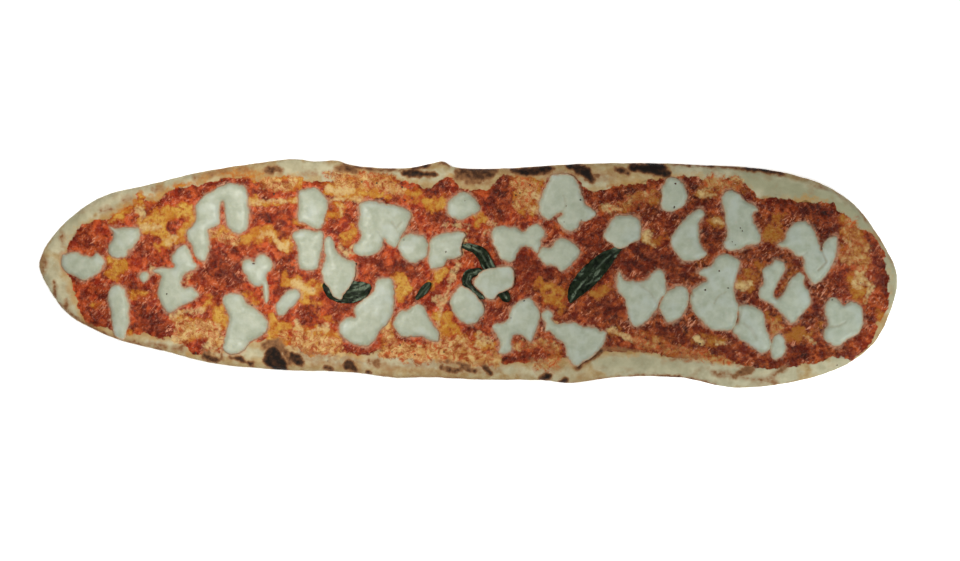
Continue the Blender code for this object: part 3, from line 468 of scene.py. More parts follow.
# The melted edge of each piece of mozzarella, clockwise, in the order of the CAD's nodes.
CHEESE_EDGES = (
    ((62, 255), (68, 253), (76, 252), (84, 255), (91, 257), (97, 254), (102, 257), (104, 262), (102, 269),
     (97, 274), (92, 277), (86, 280), (80, 279), (74, 276), (66, 272), (61, 265)),
    ((109, 226), (116, 229), (125, 227), (138, 228), (140, 232), (139, 240), (134, 246), (128, 251),
     (127, 256), (120, 258), (113, 257), (108, 252), (109, 245), (113, 239), (114, 233), (111, 229)),
    ((108, 294), (112, 287), (118, 285), (124, 289), (127, 296), (129, 305), (129, 316), (130, 324),
     (127, 330), (126, 336), (122, 340), (117, 337), (114, 332), (112, 322), (111, 312), (108, 303)),
    ((198, 203), (205, 196), (213, 191), (224, 185), (233, 183), (243, 186), (248, 193), (248, 204),
     (249, 215), (248, 227), (244, 231), (238, 234), (231, 231), (227, 225), (225, 213), (223, 201),
     (220, 207), (220, 217), (219, 224), (212, 227), (208, 230), (209, 240), (209, 249), (206, 258),
     (201, 261), (195, 256), (192, 246), (188, 239), (187, 232), (192, 226), (196, 219), (196, 210)),
    ((182, 246), (187, 246), (190, 252), (193, 260), (197, 266), (193, 270), (187, 273), (182, 278),
     (181, 285), (185, 288), (191, 287), (196, 291), (198, 296), (194, 300), (187, 303), (179, 307),
     (173, 312), (167, 312), (162, 305), (158, 295), (159, 284), (161, 276), (152, 271), (160, 268),
     (170, 268), (174, 266), (171, 259), (175, 251)),
    ((243, 262), (249, 259), (254, 262), (256, 257), (262, 254), (268, 257), (272, 263), (271, 270),
     (266, 275), (267, 284), (269, 295), (266, 303), (264, 295), (263, 286), (258, 287), (252, 284),
     (247, 277), (243, 270)),
    ((224, 296), (231, 293), (240, 294), (245, 300), (248, 304), (256, 309), (263, 315), (268, 322),
     (267, 330), (262, 336), (254, 340), (248, 344), (244, 350), (236, 354), (229, 354), (224, 350),
     (224, 342), (227, 330), (229, 318), (226, 308), (223, 302)),
    ((276, 304), (281, 298), (286, 292), (291, 289), (297, 289), (300, 294), (298, 300), (293, 306),
     (288, 311), (284, 315), (279, 315), (276, 310)),
    ((299, 192), (304, 189), (311, 188), (318, 189), (322, 194), (327, 199), (328, 206), (325, 215),
     (323, 224), (318, 229), (311, 227), (304, 223), (299, 221), (298, 211), (298, 200)),
    ((293, 237), (296, 231), (305, 229), (314, 231), (322, 231), (323, 240), (322, 249), (320, 260),
     (318, 268), (312, 271), (304, 270), (299, 267), (298, 257), (297, 246)),
    ((325, 239), (330, 237), (334, 242), (336, 250), (341, 255), (348, 260), (355, 262), (356, 270),
     (355, 277), (351, 285), (347, 291), (343, 295), (342, 299), (337, 299), (333, 295), (330, 289),
     (325, 283), (322, 275), (323, 266), (325, 257), (324, 248)),
    ((359, 211), (359, 205), (364, 202), (374, 201), (385, 204), (396, 206), (406, 209), (411, 214),
     (409, 222), (405, 230), (401, 237), (398, 244), (394, 247), (388, 244), (384, 239), (382, 246),
     (377, 252), (370, 255), (361, 256), (354, 252), (353, 246), (358, 241), (361, 234), (358, 225),
     (360, 217)),
    ((400, 240), (406, 235), (414, 234), (423, 236), (428, 242), (428, 251), (426, 257), (419, 261),
     (412, 263), (405, 259), (400, 252), (398, 246)),
    ((430, 241), (435, 236), (443, 233), (452, 232), (460, 231), (465, 234), (463, 241), (461, 248),
     (461, 255), (454, 259), (447, 260), (443, 266), (437, 268), (431, 268), (428, 260), (429, 250)),
    ((447, 208), (449, 201), (455, 196), (462, 192), (468, 193), (475, 199), (480, 207), (477, 213),
     (470, 216), (462, 220), (454, 218), (448, 214)),
    ((375, 286), (378, 280), (384, 278), (392, 280), (394, 290), (394, 302), (392, 314), (387, 323),
     (380, 330), (374, 341), (366, 346), (356, 345), (346, 340), (339, 332), (341, 323), (348, 317),
     (355, 317), (354, 309), (360, 302), (368, 297), (373, 292)),
    ((395, 319), (399, 312), (407, 310), (413, 306), (421, 305), (426, 311), (429, 318), (434, 325),
     (439, 334), (438, 341), (431, 341), (422, 337), (412, 337), (402, 336), (396, 330), (393, 324)),
    ((474, 281), (479, 273), (485, 270), (494, 268), (505, 266), (512, 269), (514, 277), (512, 287),
     (504, 291), (498, 294), (493, 299), (486, 298), (480, 291), (475, 286)),
    ((450, 301), (455, 292), (461, 286), (468, 288), (475, 294), (482, 303), (484, 311), (480, 318),
     (475, 323), (467, 324), (459, 319), (453, 312)),
    ((491, 237), (493, 230), (500, 226), (509, 227), (517, 228), (523, 232), (529, 227), (536, 224),
     (543, 228), (545, 235), (541, 240), (540, 247), (538, 253), (534, 251), (529, 247), (522, 247),
     (518, 252), (515, 259), (509, 262), (502, 259), (498, 252), (494, 245)),
    ((538, 255), (541, 248), (550, 247), (554, 242), (562, 238), (572, 242), (578, 247), (580, 254),
     (574, 261), (567, 268), (561, 271), (556, 266), (547, 265), (541, 260)),
    ((539, 208), (541, 197), (547, 185), (551, 176), (560, 174), (569, 175), (577, 180), (580, 190),
     (583, 198), (587, 205), (594, 211), (595, 216), (588, 220), (581, 222), (576, 229), (568, 231),
     (560, 224), (558, 219), (562, 213), (554, 216), (548, 220), (541, 215)),
    ((603, 236), (608, 227), (614, 218), (624, 215), (635, 216), (640, 222), (641, 231), (640, 239),
     (632, 243), (622, 248), (615, 247), (609, 242)),
    ((529, 298), (534, 303), (539, 311), (539, 322), (535, 332), (532, 342), (528, 341), (523, 336),
     (514, 335), (511, 341), (512, 349), (506, 354), (499, 353), (500, 344), (496, 334), (493, 326),
     (500, 323), (508, 319), (510, 311), (517, 302)),
    ((542, 313), (547, 310), (553, 314), (552, 320), (556, 324), (565, 323), (575, 323), (584, 327),
     (594, 327), (600, 331), (606, 332), (605, 340), (600, 349), (592, 357), (584, 362), (577, 366),
     (571, 362), (567, 355), (565, 345), (557, 338), (551, 332), (545, 331), (546, 324), (543, 318)),
    ((662, 187), (668, 178), (675, 178), (683, 184), (687, 193), (686, 200), (683, 206), (675, 211),
     (666, 211), (660, 205), (662, 196)),
    ((694, 211), (701, 209), (704, 215), (699, 223), (699, 234), (701, 245), (707, 253), (702, 258),
     (691, 261), (682, 260), (674, 250), (671, 240), (676, 229), (685, 219)),
    ((617, 284), (619, 272), (622, 277), (627, 281), (636, 281), (645, 280), (651, 274), (657, 270),
     (664, 272), (665, 283), (666, 293), (661, 300), (657, 309), (650, 317), (642, 325), (635, 327),
     (630, 321), (627, 309), (625, 299), (619, 292)),
    ((666, 293), (671, 289), (678, 286), (685, 287), (689, 293), (688, 303), (683, 314), (677, 320),
     (668, 322), (663, 315), (659, 308), (661, 300)),
    ((716, 258), (723, 254), (732, 256), (740, 262), (738, 271), (735, 280), (734, 290), (736, 300),
     (739, 306), (738, 316), (733, 328), (722, 331), (709, 328), (700, 319), (693, 310), (690, 300),
     (692, 292), (700, 284), (707, 280), (699, 273), (703, 268), (711, 265)),
    ((738, 306), (748, 305), (757, 308), (764, 315), (766, 327), (771, 340), (770, 348), (763, 353),
     (756, 350), (748, 344), (739, 338), (733, 331), (738, 320)),
    ((773, 338), (778, 334), (783, 337), (786, 346), (784, 354), (777, 359), (772, 357), (771, 348)),
    ((722, 198), (727, 191), (736, 192), (745, 200), (755, 205), (758, 210), (754, 213), (753, 220),
     (757, 228), (761, 237), (759, 243), (749, 245), (738, 250), (729, 250), (724, 244), (727, 235),
     (725, 219), (723, 207)),
    ((763, 269), (770, 264), (776, 260), (783, 263), (785, 270), (781, 277), (776, 286), (774, 294),
     (777, 298), (783, 294), (787, 284), (793, 277), (799, 273), (804, 276), (805, 285), (809, 293),
     (811, 302), (805, 312), (798, 319), (792, 323), (785, 317), (778, 310), (771, 304), (760, 298),
     (759, 290), (764, 281)),
    ((777, 245), (784, 240), (788, 230), (794, 223), (803, 221), (811, 225), (815, 233), (819, 244),
     (821, 251), (824, 242), (830, 237), (837, 237), (837, 248), (833, 261), (829, 271), (821, 281),
     (813, 284), (808, 276), (804, 266), (803, 257), (797, 256), (789, 249)),
    ((825, 312), (826, 303), (832, 297), (838, 300), (844, 305), (851, 302), (859, 304), (863, 312),
     (863, 324), (858, 333), (850, 338), (844, 342), (838, 346), (831, 344), (824, 338), (825, 330),
     (828, 322)),
    ((140, 275), (144, 272), (148, 273), (148, 278), (144, 282), (140, 280)),
)

# Sauce that shows red within the oil.
RED = (
    (1.0, (158, 199, 3), (166, 197, 5)),
    (1.0, (172, 193, 3), (185, 192, 5), (200, 190, 5), (215, 181, 4), (228, 178, 3), (248, 182, 3)),
    (1.0, (170, 227, 5), (172, 232, 3)),
    (1.0, (141, 241, 5), (148, 236, 3), (158, 241, 4)),
    (0.9, (133, 253, 4), (134, 262, 4)),
    (0.8, (260, 186, 4), (266, 193, 4)),
    (0.7, (279, 238, 2)),
    (0.8, (186, 312, 3), (196, 313, 4), (204, 319, 2)),
    (0.8, (186, 343, 4), (195, 348, 5), (206, 336, 4), (214, 334, 3)),
    (0.8, (360, 181, 2), (366, 182, 2)),
    (0.8, (374, 183, 2.5), (380, 186, 2)),
    (0.8, (396, 188, 2.5), (403, 186, 3)),
    (0.6, (338, 183, 1.5), (346, 184, 1.5)),
    (0.6, (300, 341, 3), (310, 345, 2)),
    (0.7, (330, 339, 3), (336, 346, 3)),
    (0.6, (516, 178, 3), (524, 181, 3)),
    (0.6, (530, 200, 1.2), (516, 202, 1.5)),
    (0.6, (786, 226, 2), (782, 222, 2)),
    (0.7, (752, 266, 2), (760, 274, 2)),
    (0.6, (694, 335, 2), (708, 341, 2)),
)

# Sauce that has run over the rim to the edge.
SPILL = (
    (1.0, (874, 326, 4), (868, 338, 6), (860, 349, 6), (850, 357, 4)),
    (0.9, (504, 361, 3), (516, 359, 4), (530, 355, 3), (546, 351, 2)),
)

# Oily dough with fine flecks of sauce.
FLECKED = (
    (1.0, (298, 340, 8), (315, 344, 9), (332, 345, 8)),
    (0.6, (284, 338, 6)),
    (1.0, (385, 352, 7), (410, 352, 10), (440, 354, 10), (470, 357, 8), (495, 360, 7)),
    (0.9, (430, 344, 5), (450, 343, 6), (462, 342, 6)),
    (0.9, (518, 184, 7), (524, 194, 9), (520, 203, 6), (534, 184, 5)),
    (0.6, (330, 176, 5), (345, 175, 4), (372, 176, 4), (392, 178, 4)),
    (0.8, (338, 182, 5), (375, 182, 8), (402, 190, 6)),
    (1.0, (182, 324, 6), (184, 334, 9), (200, 328, 8), (214, 334, 8), (222, 343, 6)),
    (0.7, (264, 184, 6), (288, 185, 8)),
    (0.7, (384, 325, 7), (390, 340, 6)),
    (0.6, (710, 184, 8), (735, 186, 7)),
    (0.6, (555, 362, 7), (540, 366, 5)),
    (0.6, (235, 238, 6), (212, 234, 5)),
    (0.6, (850, 225, 8), (862, 262, 8), (840, 258, 6)),
    (0.6, (640, 340, 8), (700, 356, 5), (740, 362, 4)),
    (0.5, (614, 209, 6), (650, 196, 6)),
    (0.7, (520, 346, 6), (540, 342, 6), (556, 350, 5)),
    (0.7, (774, 322, 6), (778, 332, 5)),
)

# Burnt specks: x, y and size.
SPECKS = (
    (112, 235, 1.6), (254, 264, 2.2), (167, 294, 1.6), (675, 184, 1.8), (674, 207, 2.0), (740, 228, 1.1),
    (742, 231, 1.1), (732, 242, 1.0), (735, 245, 1.0), (719, 271, 1.5), (516, 195, 1.6), (520, 193, 1.4),
    (530, 185, 1.5), (513, 202, 1.4), (540, 184, 0.9), (405, 200, 1.5), (412, 198, 1.4), (382, 199, 1.5),
    (377, 183, 1.6), (362, 182, 1.3), (402, 187, 2.2), (580, 200, 1.5), (566, 206, 1.0), (564, 222, 1.0),
    (581, 220, 1.3), (301, 352, 1.0), (252, 305, 1.3), (333, 316, 1.1), (313, 291, 1.0), (415, 355, 1.6),
    (444, 352, 1.6), (431, 360, 1.1), (400, 345, 1.6), (405, 341, 1.2), (392, 352, 1.0), (220, 337, 1.3),
    (195, 325, 1.0), (186, 236, 0.9), (222, 180, 1.6), (226, 183, 1.2), (274, 194, 1.8), (277, 199, 1.2),
    (289, 256, 1.3), (294, 263, 1.2), (356, 264, 1.8), (404, 240, 1.1), (410, 225, 1.3), (446, 252, 1.3),
    (465, 201, 1.0), (488, 198, 1.3), (524, 301, 1.5), (483, 318, 1.8), (511, 318, 1.2), (560, 309, 1.2),
    (629, 319, 1.6), (620, 276, 1.2), (705, 290, 2.0), (728, 288, 1.3), (748, 304, 1.5), (786, 262, 1.8),
    (808, 312, 1.2), (822, 249, 1.4), (821, 243, 1.1), (822, 235, 1.5), (846, 302, 1.5), (832, 300, 1.2),
    (837, 365, 1.2), (744, 364, 1.3), (799, 322, 1.4), (757, 308, 1.4), (886, 287, 1.5), (861, 283, 1.0),
    (700, 344, 1.8), (455, 222, 1.0), (142, 256, 1.2), (136, 287, 1.3), (75, 279, 1.2), (86, 281, 1.2),
    (328, 361, 1.0), (196, 353, 2.2), (190, 326, 0.9), (612, 203, 1.2), (618, 206, 1.1), (627, 204, 1.0),
    (662, 255, 1.2), (636, 276, 1.3), (586, 326, 1.0), (600, 330, 1.2), (782, 334, 1.3), (826, 345, 1.2),
)

# Creases in the cheese, deepest at 1. Their mask also paints shade in them.
CREASES = (
    (0.8, (222, 202, 0.8), (221, 212, 1.0), (222, 221, 1.2)),
    (0.7, (379, 233, 0.6), (383, 240, 0.8)),
    (0.8, (401, 238, 0.7), (406, 230, 0.7), (410, 226, 0.8)),
    (0.5, (392, 222, 1.0), (397, 228, 1.2), (402, 222, 1.0)),
    (0.6, (725, 292, 0.8), (718, 296, 0.9), (714, 303, 0.8)),
    (0.8, (690, 288, 0.9), (693, 296, 0.9)),
    (0.9, (822, 238, 0.9), (821, 249, 1.0), (826, 262, 1.2), (818, 270, 1.0)),
    (0.9, (788, 276, 1.5), (780, 286, 1.8), (776, 296, 1.2)),
    (0.7, (795, 258, 0.8), (803, 256, 0.9), (807, 252, 0.8)),
    (0.6, (829, 327, 1.0), (838, 326, 1.2), (845, 322, 1.0)),
    (0.5, (833, 300, 1.0), (840, 303, 1.0), (847, 301, 0.8)),
    (0.6, (540, 252, 0.6), (543, 246, 0.8)),
    (0.6, (524, 246, 0.8), (531, 249, 0.8)),
    (0.5, (307, 222, 0.8), (316, 227, 0.8)),
    (0.5, (736, 292, 1.0), (742, 308, 1.0), (738, 324, 1.0)),
    (0.4, (564, 196, 1.5), (566, 206, 1.2), (560, 214, 1.0)),
    (0.4, (744, 324, 1.5), (752, 330, 1.5), (756, 340, 1.5)),
    (0.4, (640, 285, 1.5), (650, 292, 1.5), (656, 302, 1.2)),
)

# Leaf midribs, from stalk to tip.
MIDRIBS = (
    ((325, 285), (334, 292), (349, 292), (361, 290), (370, 286)),
    ((431, 281), (425, 289), (416, 299)),
    ((462, 246), (472, 248), (481, 253), (487, 264), (497, 284), (506, 298)),
    ((479, 271), (469, 274), (466, 283), (473, 291), (482, 298)),
    ((621, 248), (614, 252), (604, 261), (590, 275), (576, 290), (570, 302)),
)


# Plan geometry


def place(points):
    """Places of the tables in the part's frame, in millimetres, with any further columns kept."""
    points = np.array(points, float)
    points[:, 0] -= MIDDLE[0]
    points[:, 1] = MIDDLE[1] - points[:, 1]
    return points


def smooth_step(share):
    """From 0 to 1 with a soft start and end."""
    share = np.clip(share, 0, 1)
    return share * share * (3 - 2 * share)


def spaced(line, spacing, closed):
    """The line with a point about every spacing along it."""
    if closed:
        line = np.vstack([line, line[:1]])
    along = np.concatenate([[0.0], np.cumsum(np.linalg.norm(np.diff(line[:, :2], axis=0), axis=1))])
    count = max(1, round(along[-1] / spacing))
    places = np.linspace(0.0, along[-1], count + 1)
    if closed:
        places = places[:-1]
    return np.column_stack([np.interp(places, along, column) for column in line.T])


def smooth_loop(points, per_span=8):
    """A smooth closed curve through the points, with a cubic in each span."""
    before = np.roll(points, 1, axis=0)
    after = np.roll(points, -1, axis=0)
    later = np.roll(points, -2, axis=0)
    spans = []
    for part in np.linspace(0.0, 1.0, per_span, endpoint=False):
        curve = 2 * points + (after - before) * part
        curve += (2 * before - 5 * points + 4 * after - later) * part**2
        curve += (3 * points - before - 3 * after + later) * part**3
        spans.append(curve / 2)
    return np.stack(spans, axis=1).reshape(-1, points.shape[1])


def nearest(line, points):
    """The distance of each point from the line, and the index of the line's nearest point."""
    tree = KDTree(len(line))
    for index, (x, y) in enumerate(line[:, :2]):
        tree.insert((x, y, 0.0), index)
    tree.balance()
    found = [tree.find((x, y, 0.0)) for x, y in points]
    return np.array([hit[2] for hit in found]), np.array([hit[1] for hit in found])


def is_inside(line, points):
    """Whether each point lies inside the closed line, by counting crossings to its right."""
    inside = np.zeros(len(points), bool)
    x, y = points.T
    for (ax, ay), (bx, by) in zip(line, np.roll(line, -1, axis=0)):
        if ay != by:
            spans = (ay > y) != (by > y)
            inside[spans] ^= x[spans] < ax + (y[spans] - ay) / (by - ay) * (bx - ax)
    return inside


def lattice(low, high, spacing):
    """Points in staggered rows that fill a rectangle."""
    rows = []
    step = spacing * math.sqrt(3) / 2
    for row, y in enumerate(np.arange(low[1], high[1] + step, step)):
        xs = np.arange(low[0] + (row % 2) * spacing / 2, high[0] + spacing, spacing)
        rows.append(np.column_stack([xs, np.full(len(xs), y)]))
    return np.vstack(rows)


def triangles_in(border, inside):
    """All the points, and anticlockwise triangles that fill the closed border through the inside points."""
    points = np.vstack([border, inside]) if len(inside) else border
    edges = [(i, (i + 1) % len(border)) for i in range(len(border))]
    plan = [Vector(point) for point in points.tolist()]
    _, _, faces, sources, _, _ = delaunay_2d_cdt(plan, edges, [], 1, 1e-5)
    first = [source[0] for source in sources]
    faces = np.array([[first[corner] for corner in face] for face in faces])
    a, b, c = (points[faces[:, corner]] for corner in range(3))
    turn = (b[:, 0] - a[:, 0]) * (c[:, 1] - a[:, 1]) - (b[:, 1] - a[:, 1]) * (c[:, 0] - a[:, 0])
    faces[turn < 0] = faces[turn < 0][:, [0, 2, 1]]
    return points, faces[np.abs(turn) > 1e-9]


def filled(border, pitch, room):
    """Points and triangles that fill the border. Those inside stay room pitches away from it."""
    inside = lattice(border.min(axis=0), border.max(axis=0), pitch)
    inside = inside[is_inside(border, inside)]
    return triangles_in(border, inside[nearest(border, inside)[0] > room * pitch])


def inset_ring(line, inset):
    """The anticlockwise line moved inwards along its normals."""
    along = np.roll(line, -1, axis=0) - np.roll(line, 1, axis=0)
    along /= np.linalg.norm(along, axis=1)[:, None]
    return line + inset * np.column_stack([-along[:, 1], along[:, 0]])


# Noise and strokes


@functools.cache
def noise_table(size, seed):
    """Random values for a grid of that size, and the turn of the grid."""
    rng = np.random.default_rng(seed)
    count = int(2 * REACH / size) + 3
    return rng.uniform(-1, 1, (count, count)), rng.uniform(0, math.tau)


def bumps(points, size, seed):
    """Smooth uneven values from -1 to 1, with features of about that size."""
    table, turn = noise_table(size, seed)
    spin = np.array([[math.cos(turn), -math.sin(turn)], [math.sin(turn), math.cos(turn)]])
    spot = (points @ spin + REACH) / size
    cell = np.floor(spot).astype(int)
    u, v = smooth_step(spot - cell).T
    i, j = cell.T
    near = table[i, j] * (1 - u) + table[i + 1, j] * u
    far = table[i, j + 1] * (1 - u) + table[i + 1, j + 1] * u
    return near * (1 - v) + far * v


def rough(points, size, seed, layers=3):
    """Bumps with half as high bumps of half the size on them, and so on."""
    return sum(bumps(points, size / 2**layer, seed + layer) / 2**layer for layer in range(layers))


def discs_of(run):
    """A row of discs, 1.5 mm apart, along a run of (x, y, half width)."""
    run = place(run)
    return spaced(run, 1.5, closed=False) if len(run) > 1 else run


def painted(strokes, points, soft, wobble, seed):
    """How strongly the strokes cover the points, with edges that fade over soft and waver by wobble."""
    shade = np.zeros(len(points))
    shift = wobble * rough(points, 7.0, seed)
    for strength, *run in strokes:
        discs = discs_of(run)
        room = discs[:, 2].max() + soft + 2 * wobble
        near = np.all(np.abs(points - (discs[:, :2].min(axis=0) + discs[:, :2].max(axis=0)) / 2)
                      < np.ptp(discs[:, :2], axis=0) / 2 + room, axis=1)
        if near.any():
            away = np.linalg.norm(points[near, None, :] - discs[None, :, :2], axis=2) - discs[:, 2]
            cover = strength * smooth_step(0.5 - (away.min(axis=1) + shift[near]) / (2 * soft))
            shade[near] = np.maximum(shade[near], cover)
    return shade


def oily(points):
    """Where oil and melted fat cover the sauce: most in the middle of each patch."""
    patches = painted(OIL, points, 5.0, 3.5, 43) * (1 - painted(RED, points, 2.2, 2.0, 45))
    return patches * (1 - 0.35 * smooth_step((points[:, 0] - 20) / 80))


# The CAD part as a guide


def outline(node):
    """The node's outline from above, anticlockwise: the border of its faces that look up."""
    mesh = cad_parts[node].data
    keys = [(round(v.co.x * 1e6), round(v.co.y * 1e6)) for v in mesh.vertices]
    edges = set()
    for face in mesh.polygons:
        if face.normal.z > 0.02:
            ring = [keys[corner] for corner in face.vertices]
            edges.update(zip(ring, ring[1:] + ring[:1]))
    onward = {a: b for a, b in edges if (b, a) not in edges}
    loops = []
    while onward:
        here, after = next(iter(onward.items()))
        loop = []
        while here in onward:
            loop.append(here)
            here = onward.pop(here)
        loops.append(loop)
    return np.array(max(loops, key=len)) / 1000.0


def surface(thing):
    """An object's surface in millimetres, for casting rays at."""
    corners = [v.co / MM for v in thing.data.vertices]
    return BVHTree.FromPolygons(corners, [face.vertices[:] for face in thing.data.polygons])


def cast(tree, points, down=True):
    """The height at which a ray straight down, or up, meets the surface, or nan."""
    start, way = (100.0, Vector((0, 0, -1))) if down else (-100.0, Vector((0, 0, 1)))
    hits = [tree.ray_cast(Vector((x, y, start)), way)[0] for x, y in points]
    return np.array([math.nan if hit is None else hit.z for hit in hits])


class Relief:
    """A blurred copy of a surface's heights on a square grid, which runs on past its border."""

    def __init__(self, tree, border, trust, blur, step, down=True):
        self.low = border.min(axis=0) - 3 * blur
        self.step = step
        high = border.max(axis=0) + 3 * blur
        xs = np.arange(self.low[0], high[0] + step, step)
        ys = np.arange(self.low[1], high[1] + step, step)
        self.shape = (len(ys), len(xs))
        spots = np.column_stack([grid.ravel() for grid in np.meshgrid(xs, ys)])
        inside = is_inside(border, spots)
        inside[inside] = nearest(spaced(border, 1.0, closed=True), spots[inside])[0] > trust
        height = np.zeros(len(spots))
        height[inside] = cast(tree, spots[inside], down)
        inside &= ~np.isnan(height)
        height[~inside] = 0.0
        weight = self.blurred(inside.astype(float), blur)
        self.grid = self.blurred(height, blur) / np.maximum(weight, 1e-12)
        self.grid[weight < 1e-9] = height[inside].mean()

    def blurred(self, values, blur):
        """The grid of values, spread by a bell curve."""
        reach = math.ceil(4 * blur / self.step)
        bell = np.exp(-0.5 * (np.arange(-reach, reach + 1) * self.step / blur) ** 2)
        grid = values.reshape(self.shape)
        for axis in (0, 1):
            grid = np.apply_along_axis(np.convolve, axis, grid, bell / bell.sum(), "same")
        return grid

    def at(self, points):
        """The blurred height at each point."""
        spot = (points - self.low) / self.step
        limit = np.array(self.shape[::-1]) - 2
        cell = np.clip(np.floor(spot).astype(int), 0, limit)
        u, v = np.clip(spot - cell, 0, 1).T
        i, j = cell.T
        near = self.grid[j, i] * (1 - u) + self.grid[j, i + 1] * u
        far = self.grid[j + 1, i] * (1 - u) + self.grid[j + 1, i + 1] * u
        return near * (1 - v) + far * v


# Heights of the dough and the sauce


def dough_top(points, inset, bare):
    """The top of the dough. The relief of its crust fades to nothing where bare is 0, below the sauce."""
    crest = dough_relief.at(points)
    crust = 0.55 * rough(points, 15.0, 11) + 0.22 * rough(points, 5.0, 17, layers=2)
    crest = crest + crust * bare * smooth_step(inset / 6.0)
    crest -= 1.1 * painted(FOLDS, points, 1.2, 0.4, 23)
    share = np.clip(inset / CREST_INSET, 0, 1)
    return EDGE_HEIGHT + (crest - EDGE_HEIGHT) * np.sqrt(1 - (1 - share) ** 2)


def sauce_depth(points, shore_inset):
    """How far the sauce stands above the dough: clumps, lower where oil has taken its place."""
    clumps = 0.30 * rough(points, 9.0, 31, layers=2) + 0.32 * bumps(points, 4.2, 37)
    clumps += 0.2 * bumps(points, 2.7, 41)
    oil = oily(points)
    depth = SAUCE_DEPTH + clumps * (1 - 0.75 * oil) - 0.45 * oil
    ragged = shore_inset + 1.6 * rough(points, 6.0, 47)
    return -DIP + (depth + DIP) * smooth_step(ragged / SHORE_SLOPE)


# Meshes


def add_piece(name, points, faces, look, masks=None):
    """A smooth closed mesh of points in millimetres, with each mask as a value on its points."""
    mesh = bpy.data.meshes.new(name)
    mesh.from_pydata((np.asarray(points) * MM).tolist(), [], np.asarray(faces).tolist())
    mesh.materials.append(look)
    mesh.shade_smooth()
    for key, values in (masks or {}).items():
        kept = mesh.attributes.new(key, "FLOAT", "POINT")
        kept.data.foreach_set("value", np.asarray(values, np.float32))
    made = bpy.data.objects.new(name, mesh)
    bpy.context.scene.collection.objects.link(made)
    return made


def sealed(border_count, top, top_faces, foot, foot_faces, rings=()):
    """Points and faces of a closed solid. Its top and foot start with one border, with rings between."""
    layers = [top, *rings, foot]
    starts = np.cumsum([0] + [len(layer) for layer in layers])
    order = np.arange(border_count)
    after = np.roll(order, -1)
    faces = [top_faces]
    for upper, lower in zip(starts, starts[1:-1]):
        faces.append(np.column_stack([upper + order, lower + order, lower + after]))
        faces.append(np.column_stack([upper + order, lower + after, upper + after]))
    faces.append(starts[-2] + foot_faces[:, [0, 2, 1]])
    return np.vstack(layers), np.vstack(faces)


def raised(plan, heights):
    """Plan points with their heights, or with one height for all."""
    return np.column_stack([plan, np.broadcast_to(heights, len(plan))])


# Materials


